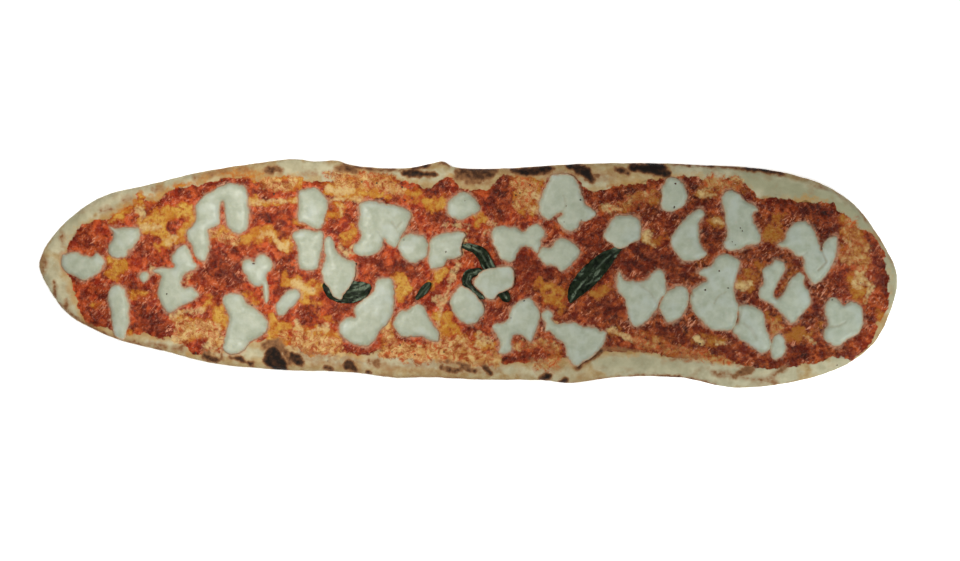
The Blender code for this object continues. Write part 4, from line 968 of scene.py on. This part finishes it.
class Look:
    """A material built from short calls, each of which returns a socket."""

    def __init__(self, name):
        self.material = bpy.data.materials.new(name)
        self.material.use_nodes = True
        self.tree = self.material.node_tree
        self.shader = self.tree.nodes["Principled BSDF"]
        self.place = self.tree.nodes.new("ShaderNodeTexCoord").outputs["Object"]

    def put(self, socket, value):
        """Link a socket to the value, or set the socket to it."""
        if isinstance(value, bpy.types.NodeSocket):
            self.tree.links.new(value, socket)
        elif isinstance(value, tuple):
            socket.default_value = (*value, 1.0)
        else:
            socket.default_value = value

    def mask(self, name):
        """The mask of that name, from the mesh."""
        node = self.tree.nodes.new("ShaderNodeAttribute")
        node.attribute_name = name
        return node.outputs["Fac"]

    def strands(self, length, angle):
        """The place, pulled so that noise on it is that many times as long along the angle."""
        node = self.tree.nodes.new("ShaderNodeMapping")
        node.vector_type = "TEXTURE"
        node.inputs["Rotation"].default_value[2] = angle
        node.inputs["Scale"].default_value[0] = length
        self.put(node.inputs["Vector"], self.place)
        return node.outputs["Vector"]

    def noise(self, size, detail=2.0, warp=0.0, place=None):
        """Noise with features of about that size."""
        node = self.tree.nodes.new("ShaderNodeTexNoise")
        node.inputs["Scale"].default_value = 1.0 / (size * MM)
        node.inputs["Detail"].default_value = detail
        node.inputs["Distortion"].default_value = warp
        self.put(node.inputs["Vector"], self.place if place is None else place)
        return node.outputs["Fac"]

    def between(self, value, low, high, to_low=0.0, to_high=1.0):
        """The value stretched from one range to the other, and held inside it."""
        node = self.tree.nodes.new("ShaderNodeMapRange")
        self.put(node.inputs["Value"], value)
        limits = {"From Min": low, "From Max": high, "To Min": to_low, "To Max": to_high}
        for key, number in limits.items():
            node.inputs[key].default_value = number
        return node.outputs["Result"]

    def maths(self, operation, a, b):
        node = self.tree.nodes.new("ShaderNodeMath")
        node.operation = operation
        self.put(node.inputs[0], a)
        self.put(node.inputs[1], b)
        return node.outputs[0]

    def add(self, a, b):
        return self.maths("ADD", a, b)

    def times(self, a, b):
        return self.maths("MULTIPLY", a, b)

    def lines(self, size, width):
        """Thin winding lines, where noise crosses its middle."""
        noise = self.noise(size, detail=3.0, warp=1.0)
        rise = self.between(noise, 0.5 - width, 0.5)
        fall = self.between(noise, 0.5, 0.5 + width, 1.0, 0.0)
        return self.times(rise, fall)

    def grain(self, size, reach):
        """Fine noise from -reach to reach."""
        return self.between(self.noise(size, detail=4.0), 0.3, 0.7, -reach, reach)

    def ragged(self, name, *grains):
        """A mask whose edges are frayed by grains of (size, reach), but which stays 0 where it is 0."""
        mask = self.mask(name)
        fray = 0.0
        for size, reach in grains:
            fray = self.add(self.grain(size, reach), fray)
        return self.add(mask, self.times(fray, self.between(mask, 0.0, 0.3)))

    def mix(self, share, under, over):
        """The first colour where the share is 0 and the second where it is 1."""
        node = self.tree.nodes.new("ShaderNodeMix")
        node.data_type = "RGBA"
        self.put(node.inputs[0], share)
        self.put(node.inputs[6], under)
        self.put(node.inputs[7], over)
        return node.outputs[2]

    def dappled(self, colours, size, detail=2.0, low=0.35, high=0.65):
        """The first colour, with the second in patches of about that size."""
        return self.mix(self.between(self.noise(size, detail=detail), low, high), *colours)

    def over(self, under, colour, value, low, high, thin=0.0, full=1.0):
        """The colour laid over another, from thin where the value is low to full where it is high."""
        return self.mix(self.between(value, low, high, thin, full), under, colour)

    def bump(self, height, depth, normal=None):
        """A normal for relief of that depth, on top of an earlier one."""
        node = self.tree.nodes.new("ShaderNodeBump")
        node.inputs["Distance"].default_value = depth * MM
        self.put(node.inputs["Height"], height)
        if normal is not None:
            self.put(node.inputs["Normal"], normal)
        return node.outputs["Normal"]

    def finish(self, colour, roughness, normal, **constants):
        """The material, with constants set on the shader's sockets: an underscore is a space."""
        self.put(self.shader.inputs["Base Color"], colour)
        self.put(self.shader.inputs["Roughness"], roughness)
        self.put(self.shader.inputs["Normal"], normal)
        for key, value in constants.items():
            self.shader.inputs[key.replace("_", " ")].default_value = value
        return self.material


def bare_dough(look):
    """Baked dough: golden, paler and greyer with flour, and with painted shade on parts of the rim."""
    flour = look.add(look.mask("flour"), look.noise(9.0, detail=4.0))
    dough = look.over(look.dappled(GOLDEN_DOUGH, 9.0), look.dappled(FLOURED_DOUGH, 12.0), flour, 0.55, 1.15)
    dough = look.over(dough, DUSTED_DOUGH, look.noise(3.0, detail=4.0), 0.5, 0.75, full=0.35)
    # Painted shade: duller, greener dough on parts of the rim.
    dough = look.over(dough, SHADED_DOUGH, look.mask("dull_rim_shade"), 0.0, 1.0, full=0.75)
    dough = look.over(dough, TOASTED_DOUGH, look.noise(14.0, detail=4.0), 0.53, 0.72, full=0.5)
    stain = look.add(look.mask("stain"), look.grain(3.0, 0.25))
    return look.over(dough, STAINED_DOUGH, stain, 0.15, 0.95, full=0.85)


def tomato(look):
    """Coarse sauce: red clumps, browner or darker in places, with pits, painted shade along its crinkles,
    and strands of pulp with painted glints.
    """
    clump = look.between(look.noise(6.5, detail=4.0, warp=0.5), 0.39, 0.61)
    brown = look.between(look.noise(26.0, detail=3.0), 0.42, 0.62, 0.0, 0.5)
    brown = look.add(brown, look.mask("darker_rightward"))
    sauce = look.mix(brown, look.mix(clump, *RED_SAUCE), look.mix(clump, *BROWN_SAUCE))
    sauce = look.over(sauce, DIM_SAUCE, look.noise(11.0, detail=4.0), 0.36, 0.52, 0.75, 0.0)
    deep = look.ragged("deep", (4.0, 0.3))
    sauce = look.over(sauce, look.mix(clump, *DARK_SAUCE), deep, 0.05, 0.85, full=0.9)
    # Painted shade in thin winding lines along the sauce's crinkles, stronger towards the right.
    crinkle_shade = look.times(look.lines(9.0, 0.03), look.between(look.mask("darker_rightward"), 0.0, 0.6, 0.15, 0.8))
    sauce = look.mix(crinkle_shade, sauce, CRINKLE_SHADE_SAUCE)
    sauce = look.over(sauce, PITTED_SAUCE, look.noise(4.6, detail=3.0), 0.34, 0.44, 0.6, 0.0)
    # Strands of pulp, with painted glints: pale flecks in place of highlights on the wet sauce.
    strands = look.strands(PULP_GLINT_LENGTH, STRAND_SLANT)
    pulp_and_glints = look.between(look.noise(2.3, detail=3.0, warp=1.0, place=strands), 0.55, 0.66)
    pulp_and_glints = look.times(pulp_and_glints, look.between(look.noise(13.0, detail=3.0), 0.42, 0.60, 0.05, 1.0))
    pulp_and_glints = look.times(pulp_and_glints, look.between(deep, 0.15, 0.7, 1.0, 0.35))
    sauce = look.mix(pulp_and_glints, sauce, PULP_AND_GLINTS)
    return look.over(sauce, BURNT_SAUCE, deep, 0.85, 1.15, full=0.95)


def oiled(look, sauce):
    """Sauce that turns orange, then yellow, then pale, where oil, fat and cream cover it."""
    oil = look.ragged("oil", (3.0, 0.26), (9.0, 0.30))
    warm = look.dappled(WARM_OIL, 9.0, low=0.4, high=0.6)
    gold = look.dappled(GOLD_OIL, 12.0, low=0.4, high=0.6)
    fat = look.over(warm, gold, oil, 0.45, 0.95, full=0.95)
    fat = look.mix(look.times(look.mask("darker_rightward"), 0.75), fat, OIL_DARKER_RIGHT)
    sauce = look.over(sauce, fat, oil, 0.12, 0.55, full=0.93)
    bits = look.between(look.noise(3.2, detail=4.0, warp=0.6), 0.56, 0.64, 0.0, 0.6)
    sauce = look.mix(look.times(bits, look.mask("oil")), sauce, OILY_BITS)
    cream = look.ragged("cream", (2.8, 0.28), (7.0, 0.22))
    return look.over(sauce, CREAMY_OIL, cream, 0.22, 0.9, full=0.9)


def straw(look, colour):
    """Baked dough the colour of straw, under a thin net of sauce."""
    share = look.ragged("flecked", (4.0, 0.3), (9.0, 0.25))
    dough = look.dappled(STRAW_DOUGH, 7.0, detail=3.0, low=0.38, high=0.62)
    dough = look.mix(look.times(look.mask("darker_rightward"), 0.7), dough, STRAW_DARKER_RIGHT)
    colour = look.over(colour, dough, share, 0.25, 0.75, full=0.88)
    blots = look.between(look.noise(6.0, detail=5.0, warp=1.0), 0.53, 0.60, 0.0, 0.9)
    net = look.maths("MAXIMUM", look.times(look.lines(6.0, 0.05), 0.85), blots)
    thin = look.dappled(THIN_SAUCE, 7.0, low=0.4, high=0.6)
    return look.mix(look.times(net, look.between(share, 0.05, 0.4)), colour, thin)


def topping_colours(look):
    """What shows from above on the dough and the sauce alike, so that neither ends at a line."""
    wet = look.ragged("wet", (3.0, 0.2), (8.0, 0.2))
    colour = look.over(bare_dough(look), tomato(look), wet, 0.38, 0.62)
    colour = straw(look, oiled(look, colour))
    melt = look.ragged("melt", (3.2, 0.35), (12.0, 0.35))
    colour = look.over(colour, MILKY_SAUCE, melt, 0.30, 1.1, full=0.8)
    # Burns, and painted shadow in a fold and along the lower edges.
    char_and_shadow = look.ragged("char_and_shadow", (5.0, 0.2))
    for burn_and_shadow, low, high in BURNS_AND_SHADOWS:
        colour = look.over(colour, burn_and_shadow, char_and_shadow, low, high)
    return colour


def dough_material():
    look = Look("baked dough")
    under = look.dappled(UNDERSIDE, 38.0, detail=3.0, low=0.4, high=0.6)
    under = look.over(under, UNDERSIDE_SPOT, look.noise(11.0, detail=1.5), 0.58, 0.74, full=0.9)
    colour = look.mix(look.mask("under"), topping_colours(look), under)
    normal = look.bump(look.noise(1.6, detail=3.0), 0.3)
    normal = look.bump(look.noise(5.0), 0.8, normal)
    roughness = look.between(look.noise(6.0), 0.3, 0.7, 0.55, 0.8)
    return look.finish(colour, roughness, normal, Specular_IOR_Level=0.08)


def sauce_material():
    look = Look("tomato sauce")
    ripples = look.strands(RIPPLE_LENGTH, STRAND_SLANT)
    normal = look.bump(look.noise(1.5, detail=3.0, place=ripples), 1.1)
    normal = look.bump(look.noise(3.6), 1.6, normal)
    roughness = look.between(look.noise(2.6), 0.35, 0.65, 0.12, 0.36)
    return look.finish(topping_colours(look), roughness, normal, Specular_IOR_Level=0.11)


def cheese_material():
    look = Look("melted mozzarella")
    cheese = look.dappled(CHEESE, 10.0, detail=4.0)
    cheese = look.over(cheese, WHITE_CHEESE, look.noise(3.5, detail=3.0), 0.5, 0.8, full=0.5)
    # Painted sheen in broad bluish-white patches.
    cheese = look.over(cheese, BLUISH_SHEEN_CHEESE, look.noise(20.0, detail=3.0), 0.50, 0.68, full=0.55)
    edge = look.add(look.mask("edge"), look.grain(3.0, 0.35))
    cheese = look.over(cheese, CREAMY_CHEESE, edge, 0.2, 1.0, full=0.75)
    fray = look.add(look.mask("fray"), look.grain(3.5, 0.45))
    cheese = look.over(cheese, FRAYED_CHEESE, fray, 0.35, 1.2, full=0.9)
    # Painted shade in the creases.
    cheese = look.mix(look.mask("crease"), cheese, CREASE_SHADE_CHEESE)
    normal = look.bump(look.noise(7.0, detail=4.0), 0.35)
    roughness = look.between(look.noise(6.0), 0.40, 0.62, 0.52, 0.34)
    look.shader.inputs["Subsurface Radius"].default_value = (1.0, 0.8, 0.5)
    glow = {"Subsurface_Weight": 0.25, "Subsurface_Scale": 3.0 * MM}
    return look.finish(cheese, roughness, normal, Specular_IOR_Level=0.2, **glow)


def basil_material():
    look = Look("baked basil")
    leaf = look.dappled(LEAF, 4.0, detail=4.0, low=0.38, high=0.62)
    # Painted glints along the wrinkle crests, and the paler midrib.
    glint_streaks = look.times(look.mask("rib"), look.between(look.noise(2.5), 0.3, 0.55))
    leaf = look.mix(glint_streaks, leaf, LEAF_GLINTS)
    normal = look.bump(look.noise(1.8, detail=3.0), 0.7)
    roughness = look.between(look.noise(2.5), 0.35, 0.65, 0.25, 0.5)
    return look.finish(leaf, roughness, normal, Specular_IOR_Level=0.07)


def speck_material():
    look = Look("burnt specks")
    colour = look.dappled(SPECK, 1.5, low=0.4, high=0.6)
    return look.finish(colour, 0.7, look.bump(look.noise(0.7), 0.2), Specular_IOR_Level=0.3)


def floor_material():
    look = Look("pale floor")
    colour = look.mix(look.noise(60.0), *FLOOR)
    normal = look.bump(look.noise(2.0), 0.02)
    return look.finish(colour, 0.9, normal, Specular_IOR_Level=0.1, Emission_Strength=FLOOR_GLOW)


# Pieces


def topping_masks(spots, shore, cheese_edges):
    """What the dough and the sauce share: the strength of each colouring at each point."""
    wet = wet_inset(shore, spots)
    stain = smooth_step((wet + 7.0 + 3.0 * rough(spots, 7.0, 61)) / 9.0)
    off_cheese = nearest(cheese_edges, spots)[0]
    oil = oily(spots) * (0.3 + 0.7 * smooth_step((wet + 4.0) / 6.0))
    soaked = smooth_step(0.5 + (wet - 1.0 + 2.2 * rough(spots, 9.0, 67)) / 7.0)
    # Darker towards the right, and a little less so at the far right end.
    darker_rightward = smooth_step((spots[:, 0] + 60) / 260)
    darker_rightward *= 1 - 0.45 * smooth_step((spots[:, 0] - 360) / 20)
    return {
        "wet": np.maximum(soaked, painted(SPILL, spots, 3.0, 2.0, 75)),
        "stain": np.maximum(stain * (0.3 + 0.5 * rough(spots, 30.0, 63)), 0.9 * oily(spots)),
        "oil": oil,
        "cream": painted(CREAM, spots, 3.5, 2.5, 83),
        "deep": painted(DEEP, spots, 4.5, 3.0, 89) + 0.06,
        "darker_rightward": 0.7 * darker_rightward,
        "flecked": painted(FLECKED, spots, 5.0, 3.0, 79),
        "melt": np.exp(-off_cheese / 2.2),
        "flour": painted(FLOUR, spots, 5.0, 3.0, 73),
        "dull_rim_shade": painted(DULL_RIM_SHADE, spots, 8.0, 3.0, 77),
        "char_and_shadow": painted(CHAR_AND_SHADOW_STROKES, spots, 3.0, 1.5, 71),
    }


def baked_crust(edge, shore, cheese_edges, look):
    """The dough: fine where it shows, coarse below the sauce, with a rounded side and a flat underside."""
    border = spaced(edge, DOUGH_STATION, closed=True)
    wave = 0.25 + 0.25 * bumps(border, 9.0, 3) + 0.12 * bumps(border, 4.0, 4)
    border = inset_ring(border, wave[:, None])
    rings = np.vstack([inset_ring(border, inset) for inset in DOUGH_RINGS])
    low, high = edge.min(axis=0), edge.max(axis=0)
    fine = lattice(low, high, DOUGH_PITCH)
    fine = fine[is_inside(border, fine)]
    inset = nearest(border, fine)[0]
    fine = fine[inset > DOUGH_RINGS[-1] + 0.6 * DOUGH_PITCH]
    wet = wet_inset(shore, fine)
    coarse = lattice(low, high, HIDDEN_PITCH)
    coarse = coarse[wet_inset(shore, coarse) > HIDDEN_INSET + 0.4 * HIDDEN_PITCH]
    plan, faces = triangles_in(border, np.vstack([rings, fine[wet < HIDDEN_INSET], coarse]))
    inset = nearest(spaced(border, 0.5, closed=True), plan)[0]
    wet = wet_inset(shore, plan)
    bare = 1 - smooth_step((wet + 2.0) / 5.0)
    heights = dough_top(plan, inset, bare) - HIDDEN_SINK * smooth_step((wet - 6.0) / 3.0)
    foot_plan = inset_ring(border, DOUGH_SIDE[-1][0])
    under = lattice(low, high, UNDER_PITCH)
    under = under[is_inside(foot_plan, under)]
    under = under[nearest(foot_plan, under)[0] > 0.5 * UNDER_PITCH]
    foot_plan, foot_faces = triangles_in(foot_plan, under)
    sides = [raised(inset_ring(border, reach), height) for reach, height in DOUGH_SIDE[:-1]]
    top = raised(plan, heights)
    foot = raised(foot_plan, DOUGH_SIDE[-1][1])
    points, solid = sealed(len(border), top, faces, foot, foot_faces, sides)
    below = np.arange(len(points)) >= len(top) + 2 * len(border)
    masks = topping_masks(points[:, :2], shore, cheese_edges)
    masks = {key: np.where(below, 0.0, values) for key, values in masks.items()}
    masks["under"] = below.astype(float)
    return add_piece("baked_crust", points, solid, look, masks)


def wet_inset(shore, points):
    """How far inside the sauce's shore each point lies, below 0 outside it."""
    away = nearest(shore, points)[0]
    return np.where(is_inside(shore, points), away, -away)


def tomato_sauce(edge, shore, cheese_edges, look):
    """The sheet of sauce, sunk a little into the dough, and its surface for what lies on it."""
    border = spaced(shore, SAUCE_STATION, closed=True)
    fine_edge = spaced(edge, 0.5, closed=True)
    plan, faces = filled(border, SAUCE_PITCH, 0.7)
    ground = dough_top(plan, nearest(fine_edge, plan)[0], 0.0)
    depth = sauce_depth(plan, nearest(spaced(shore, 0.5, closed=True), plan)[0])
    foot_plan, foot_faces = filled(border, SAUCE_FOOT_PITCH, 0.5)
    foot = dough_top(foot_plan, nearest(fine_edge, foot_plan)[0], 0.0) - DIP - SAUCE_UNDER
    top = raised(plan, ground + depth)
    points, solid = sealed(len(border), top, faces, raised(foot_plan, foot), foot_faces)
    masks = topping_masks(points[:, :2], spaced(shore, 1.0, closed=True), cheese_edges)
    made = add_piece("tomato_sauce", points, solid, look, masks)
    bed = BVHTree.FromPolygons([Vector(p) for p in points.tolist()], solid.tolist())
    return made, bed


def frayed_edge(corners):
    """The wavering edge of a piece of cheese, anticlockwise."""
    edge = spaced(smooth_loop(place(corners))[::-1], CHEESE_STATION, closed=True)
    wave = 0.55 * bumps(edge, 6.0, 101) + 0.4 * bumps(edge, 2.4, 103) - 0.3
    return spaced(inset_ring(edge, wave[:, None]), CHEESE_STATION, closed=True)


def melted_cheese(name, edge, beds, look):
    """A thin-edged piece of cheese, sunk a little into what it lies on."""
    loop = smooth_loop(outline(name))
    tree = surface(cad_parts[name])
    relief = Relief(tree, loop, 2.5, 3.0, 1.0)
    rest = Relief(tree, loop, 0.5, 2.0, 1.5, down=False)

    def foot_at(points):
        bed = np.nanmax([cast(beds[0], points), cast(beds[1], points)], axis=0)
        lifted = np.clip(rest.at(points) - bed - 1.2, 0, 1)
        return (1 - lifted) * (bed - CHEESE_SINK) + lifted * rest.at(points)

    plan, faces = filled(edge, CHEESE_PITCH, 0.6)
    foot_plan, foot_faces = filled(edge, CHEESE_FOOT_PITCH, 0.6)
    inset = nearest(spaced(edge, 0.4, closed=True), plan)[0]
    share = np.clip(inset / min(CHEESE_SHOULDER, 1.2 * inset.max()), 0, 1)
    foot = foot_at(plan)
    dome = 0.85 * (1 - (1 - share) ** 2) + 0.15 * smooth_step(inset / 14.0)
    crease = painted(CREASES, plan, 0.9, 0.3, 109)
    thick = 0.75 * np.clip(relief.at(plan) - rest.at(plan), *CHEESE_THICKNESS)
    thick += 0.4 * rough(plan, 17.0, 107, layers=2)
    level = smooth_step(inset / CHEESE_MARGIN)
    top = (1 - level) * (foot + CHEESE_SINK + 0.12) + level * (rest.at(plan) + 0.1)
    top += thick * dome - 0.8 * crease * share
    top = np.maximum(top, foot + CHEESE_SINK)
    under = raised(foot_plan, foot_at(foot_plan))
    points, solid = sealed(len(edge), raised(plan, top), faces, under, foot_faces)
    spots = points[:, :2]
    inset = nearest(spaced(edge, 0.4, closed=True), spots)[0]
    masks = {
        "edge": 1 - smooth_step(inset / CHEESE_MARGIN),
        "fray": 1 - smooth_step(inset / 2.6),
        # Painted shade in the creases.
        "crease": painted(CREASES, spots, 0.8, 0.4, 109) * 0.4,
    }
    return add_piece(name.replace("mozzarella", "melted_cheese"), points, solid, look, masks)


def basil_leaf(index, look):
    """A thin leaf, wrinkled along its length, with a sunken midrib."""
    name = f"basil_{index + 1}"
    loop = smooth_loop(outline(name))
    edge = spaced(loop, LEAF_STATION, closed=True)
    edge = inset_ring(edge, 0.3 + 0.35 * bumps(edge, 3.0, 121)[:, None])
    plan, faces = filled(edge, LEAF_PITCH, 0.6)
    relief = Relief(surface(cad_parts[name]), loop, 0.3, 1.6, 0.8)
    rib = spaced(place(MIDRIBS[index]), RIB_STEP, closed=False)
    across, along = nearest(rib, plan)
    ahead = np.gradient(rib, axis=0)[along]
    off = plan - rib[along]
    side = np.sign(ahead[:, 0] * off[:, 1] - ahead[:, 1] * off[:, 0])
    along = along * RIB_STEP
    lengthwise = np.column_stack([along * 0.22, across * side + 0.8 * bumps(plan, 8.0, 135)])
    wrinkle = 0.65 * bumps(lengthwise, 2.6, 139 + index) + 0.55 * bumps(lengthwise, 1.3, 149 + index)
    middle = np.exp(-((across / 0.8) ** 2)) * (along > 2)
    crinkle = 0.35 * bumps(plan, 4.0, 127) + 0.25 * bumps(plan, 2.2, 131)
    top = relief.at(plan) + crinkle + 0.55 * wrinkle - 0.4 * middle
    under = raised(plan, top - LEAF_THICK)
    points, solid = sealed(len(edge), raised(plan, top), faces, under, faces)
    # Painted glints on the crests of the wrinkles, and a paler midrib.
    glint_streaks = smooth_step((wrinkle - 0.1) / 0.3) * smooth_step(0.75 + bumps(plan, 6.0, 141))
    masks = {"rib": np.tile(np.clip(0.9 * glint_streaks + 0.4 * middle, 0, 1), 2)}
    return add_piece(f"basil_leaf_{index + 1}", points, solid, look, masks)


def burnt_specks(beds, look):
    """Small black lumps on the sauce, the cheese and the dough, as one mesh."""
    spots = place([speck[:2] for speck in SPECKS])
    heights = np.nanmax([cast(bed, spots) for bed in beds], axis=0)
    points, faces = [], []
    for index, ((x, y), z, (_, _, size)) in enumerate(zip(spots, heights, SPECKS)):
        rng = np.random.default_rng(SPECK_SEED + index)
        stretch = rng.uniform(0.7, 1.3)
        turn = rng.uniform(0, math.tau)
        start = len(points) + 1
        points.append((x, y, z - SPECK_SINK))
        for height, wide in SPECK_RINGS:
            for step in range(SPECK_SIDES):
                angle = turn + math.tau * step / SPECK_SIDES
                reach = 0.6 * wide * size * rng.uniform(0.6, 1.3)
                across = reach * stretch * math.cos(angle)
                up = reach * math.sin(angle) / stretch
                points.append((x + across, y + up, z + height))
        points.append((x, y, z + SPECK_HEIGHT))
        last = start + SPECK_SIDES * (len(SPECK_RINGS) - 1)
        for step in range(SPECK_SIDES):
            after = (step + 1) % SPECK_SIDES
            faces.append((start - 1, start + after, start + step))
            for ring in range(start, last, SPECK_SIDES):
                a, b = ring + step, ring + after
                faces += [(a, b, b + SPECK_SIDES), (a, b + SPECK_SIDES, a + SPECK_SIDES)]
            faces.append((last + step, last + after, last + SPECK_SIDES))
    return add_piece("burnt_specks", points, faces, look)


# Stage


def pale_floor(look):
    """A wide pale square below the pizza."""
    half = FLOOR_SIZE / 2
    corners = [(-half, -half, 0), (half, -half, 0), (half, half, 0), (-half, half, 0)]
    mesh = bpy.data.meshes.new("floor")
    mesh.from_pydata(corners, [], [(0, 1, 2, 3)])
    mesh.materials.append(look)
    made = bpy.data.objects.new("floor", mesh)
    made.location.z = FLOOR_RISE * MM
    bpy.context.scene.collection.objects.link(made)
    return made


def soft_light(name, spot, target, size, power, colour):
    """A square light that faces its target."""
    lamp = bpy.data.lights.new(name, "AREA")
    lamp.shape = "SQUARE"
    lamp.size = size
    lamp.energy = power
    lamp.color = colour
    made = bpy.data.objects.new(name, lamp)
    made.location = spot
    made.visible_camera = False
    made.rotation_euler = (Vector(spot) - Vector(target)).to_track_quat("Z", "Y").to_euler()
    bpy.context.scene.collection.objects.link(made)
    return made


def lights_and_camera():
    """The sky, the lights, and a camera that looks straight down."""
    world = bpy.data.worlds.new("studio")
    world.use_nodes = True
    sky = world.node_tree.nodes["Background"]
    sky.inputs["Color"].default_value = (*SKY, 1.0)
    sky.inputs["Strength"].default_value = SKY_STRENGTH
    scene = bpy.context.scene
    scene.world = world
    for light in LIGHTS:
        soft_light(*light)
    lens = bpy.data.cameras.new("camera")
    lens.lens = LENS
    lens.sensor_width = SENSOR
    lens.clip_end = CAMERA_REACH
    camera = bpy.data.objects.new("camera", lens)
    height = FRAME_WIDE * MM * LENS / SENSOR + TOPPING_HEIGHT * MM
    across, up = place([FRAME_MIDDLE])[0] * MM
    camera.location = (across, up, height)
    scene.collection.objects.link(camera)
    scene.camera = camera
    scene.view_settings.view_transform = "Standard"


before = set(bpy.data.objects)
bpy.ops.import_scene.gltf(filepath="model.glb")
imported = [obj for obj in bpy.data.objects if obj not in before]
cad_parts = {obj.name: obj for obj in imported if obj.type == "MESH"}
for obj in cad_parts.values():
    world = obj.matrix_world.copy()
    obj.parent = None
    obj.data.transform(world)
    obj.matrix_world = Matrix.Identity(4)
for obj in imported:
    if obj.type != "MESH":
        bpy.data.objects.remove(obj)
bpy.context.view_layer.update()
crust_loop = smooth_loop(outline("crust"))
sauce_loop = smooth_loop(outline("sauce"))
dough_relief = Relief(surface(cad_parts["crust"]), crust_loop, 6.5, 4.0, 2.0)

cheese_edges = [frayed_edge(corners) for corners in CHEESE_EDGES]
all_edges = np.vstack(cheese_edges)
crust_piece = baked_crust(crust_loop, spaced(sauce_loop, 1.0, closed=True), all_edges, dough_material())
sauce_piece, sauce_bed = tomato_sauce(crust_loop, sauce_loop, all_edges, sauce_material())
pieces = [(crust_piece, "crust", "crust"), (sauce_piece, "sauce", "sauce")]
beds = [surface(crust_piece), sauce_bed]
leaf_look = basil_material()
for leaf in range(len(MIDRIBS)):
    pieces.append((basil_leaf(leaf, leaf_look), f"basil_{leaf + 1}", "basil"))
cheese_look = cheese_material()
for number, edge in enumerate(cheese_edges, start=1):
    node = f"mozzarella_{number:02d}"
    pieces.append((melted_cheese(node, edge, beds, cheese_look), node, "cheese"))
for piece, node, slot in pieces:
    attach(piece, "root")
    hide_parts(node)

trees = beds + [surface(piece) for piece, _, _ in pieces[2:]]
specks = burnt_specks(trees, speck_material())
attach(specks, "root")

floor = pale_floor(floor_material())
lights_and_camera()
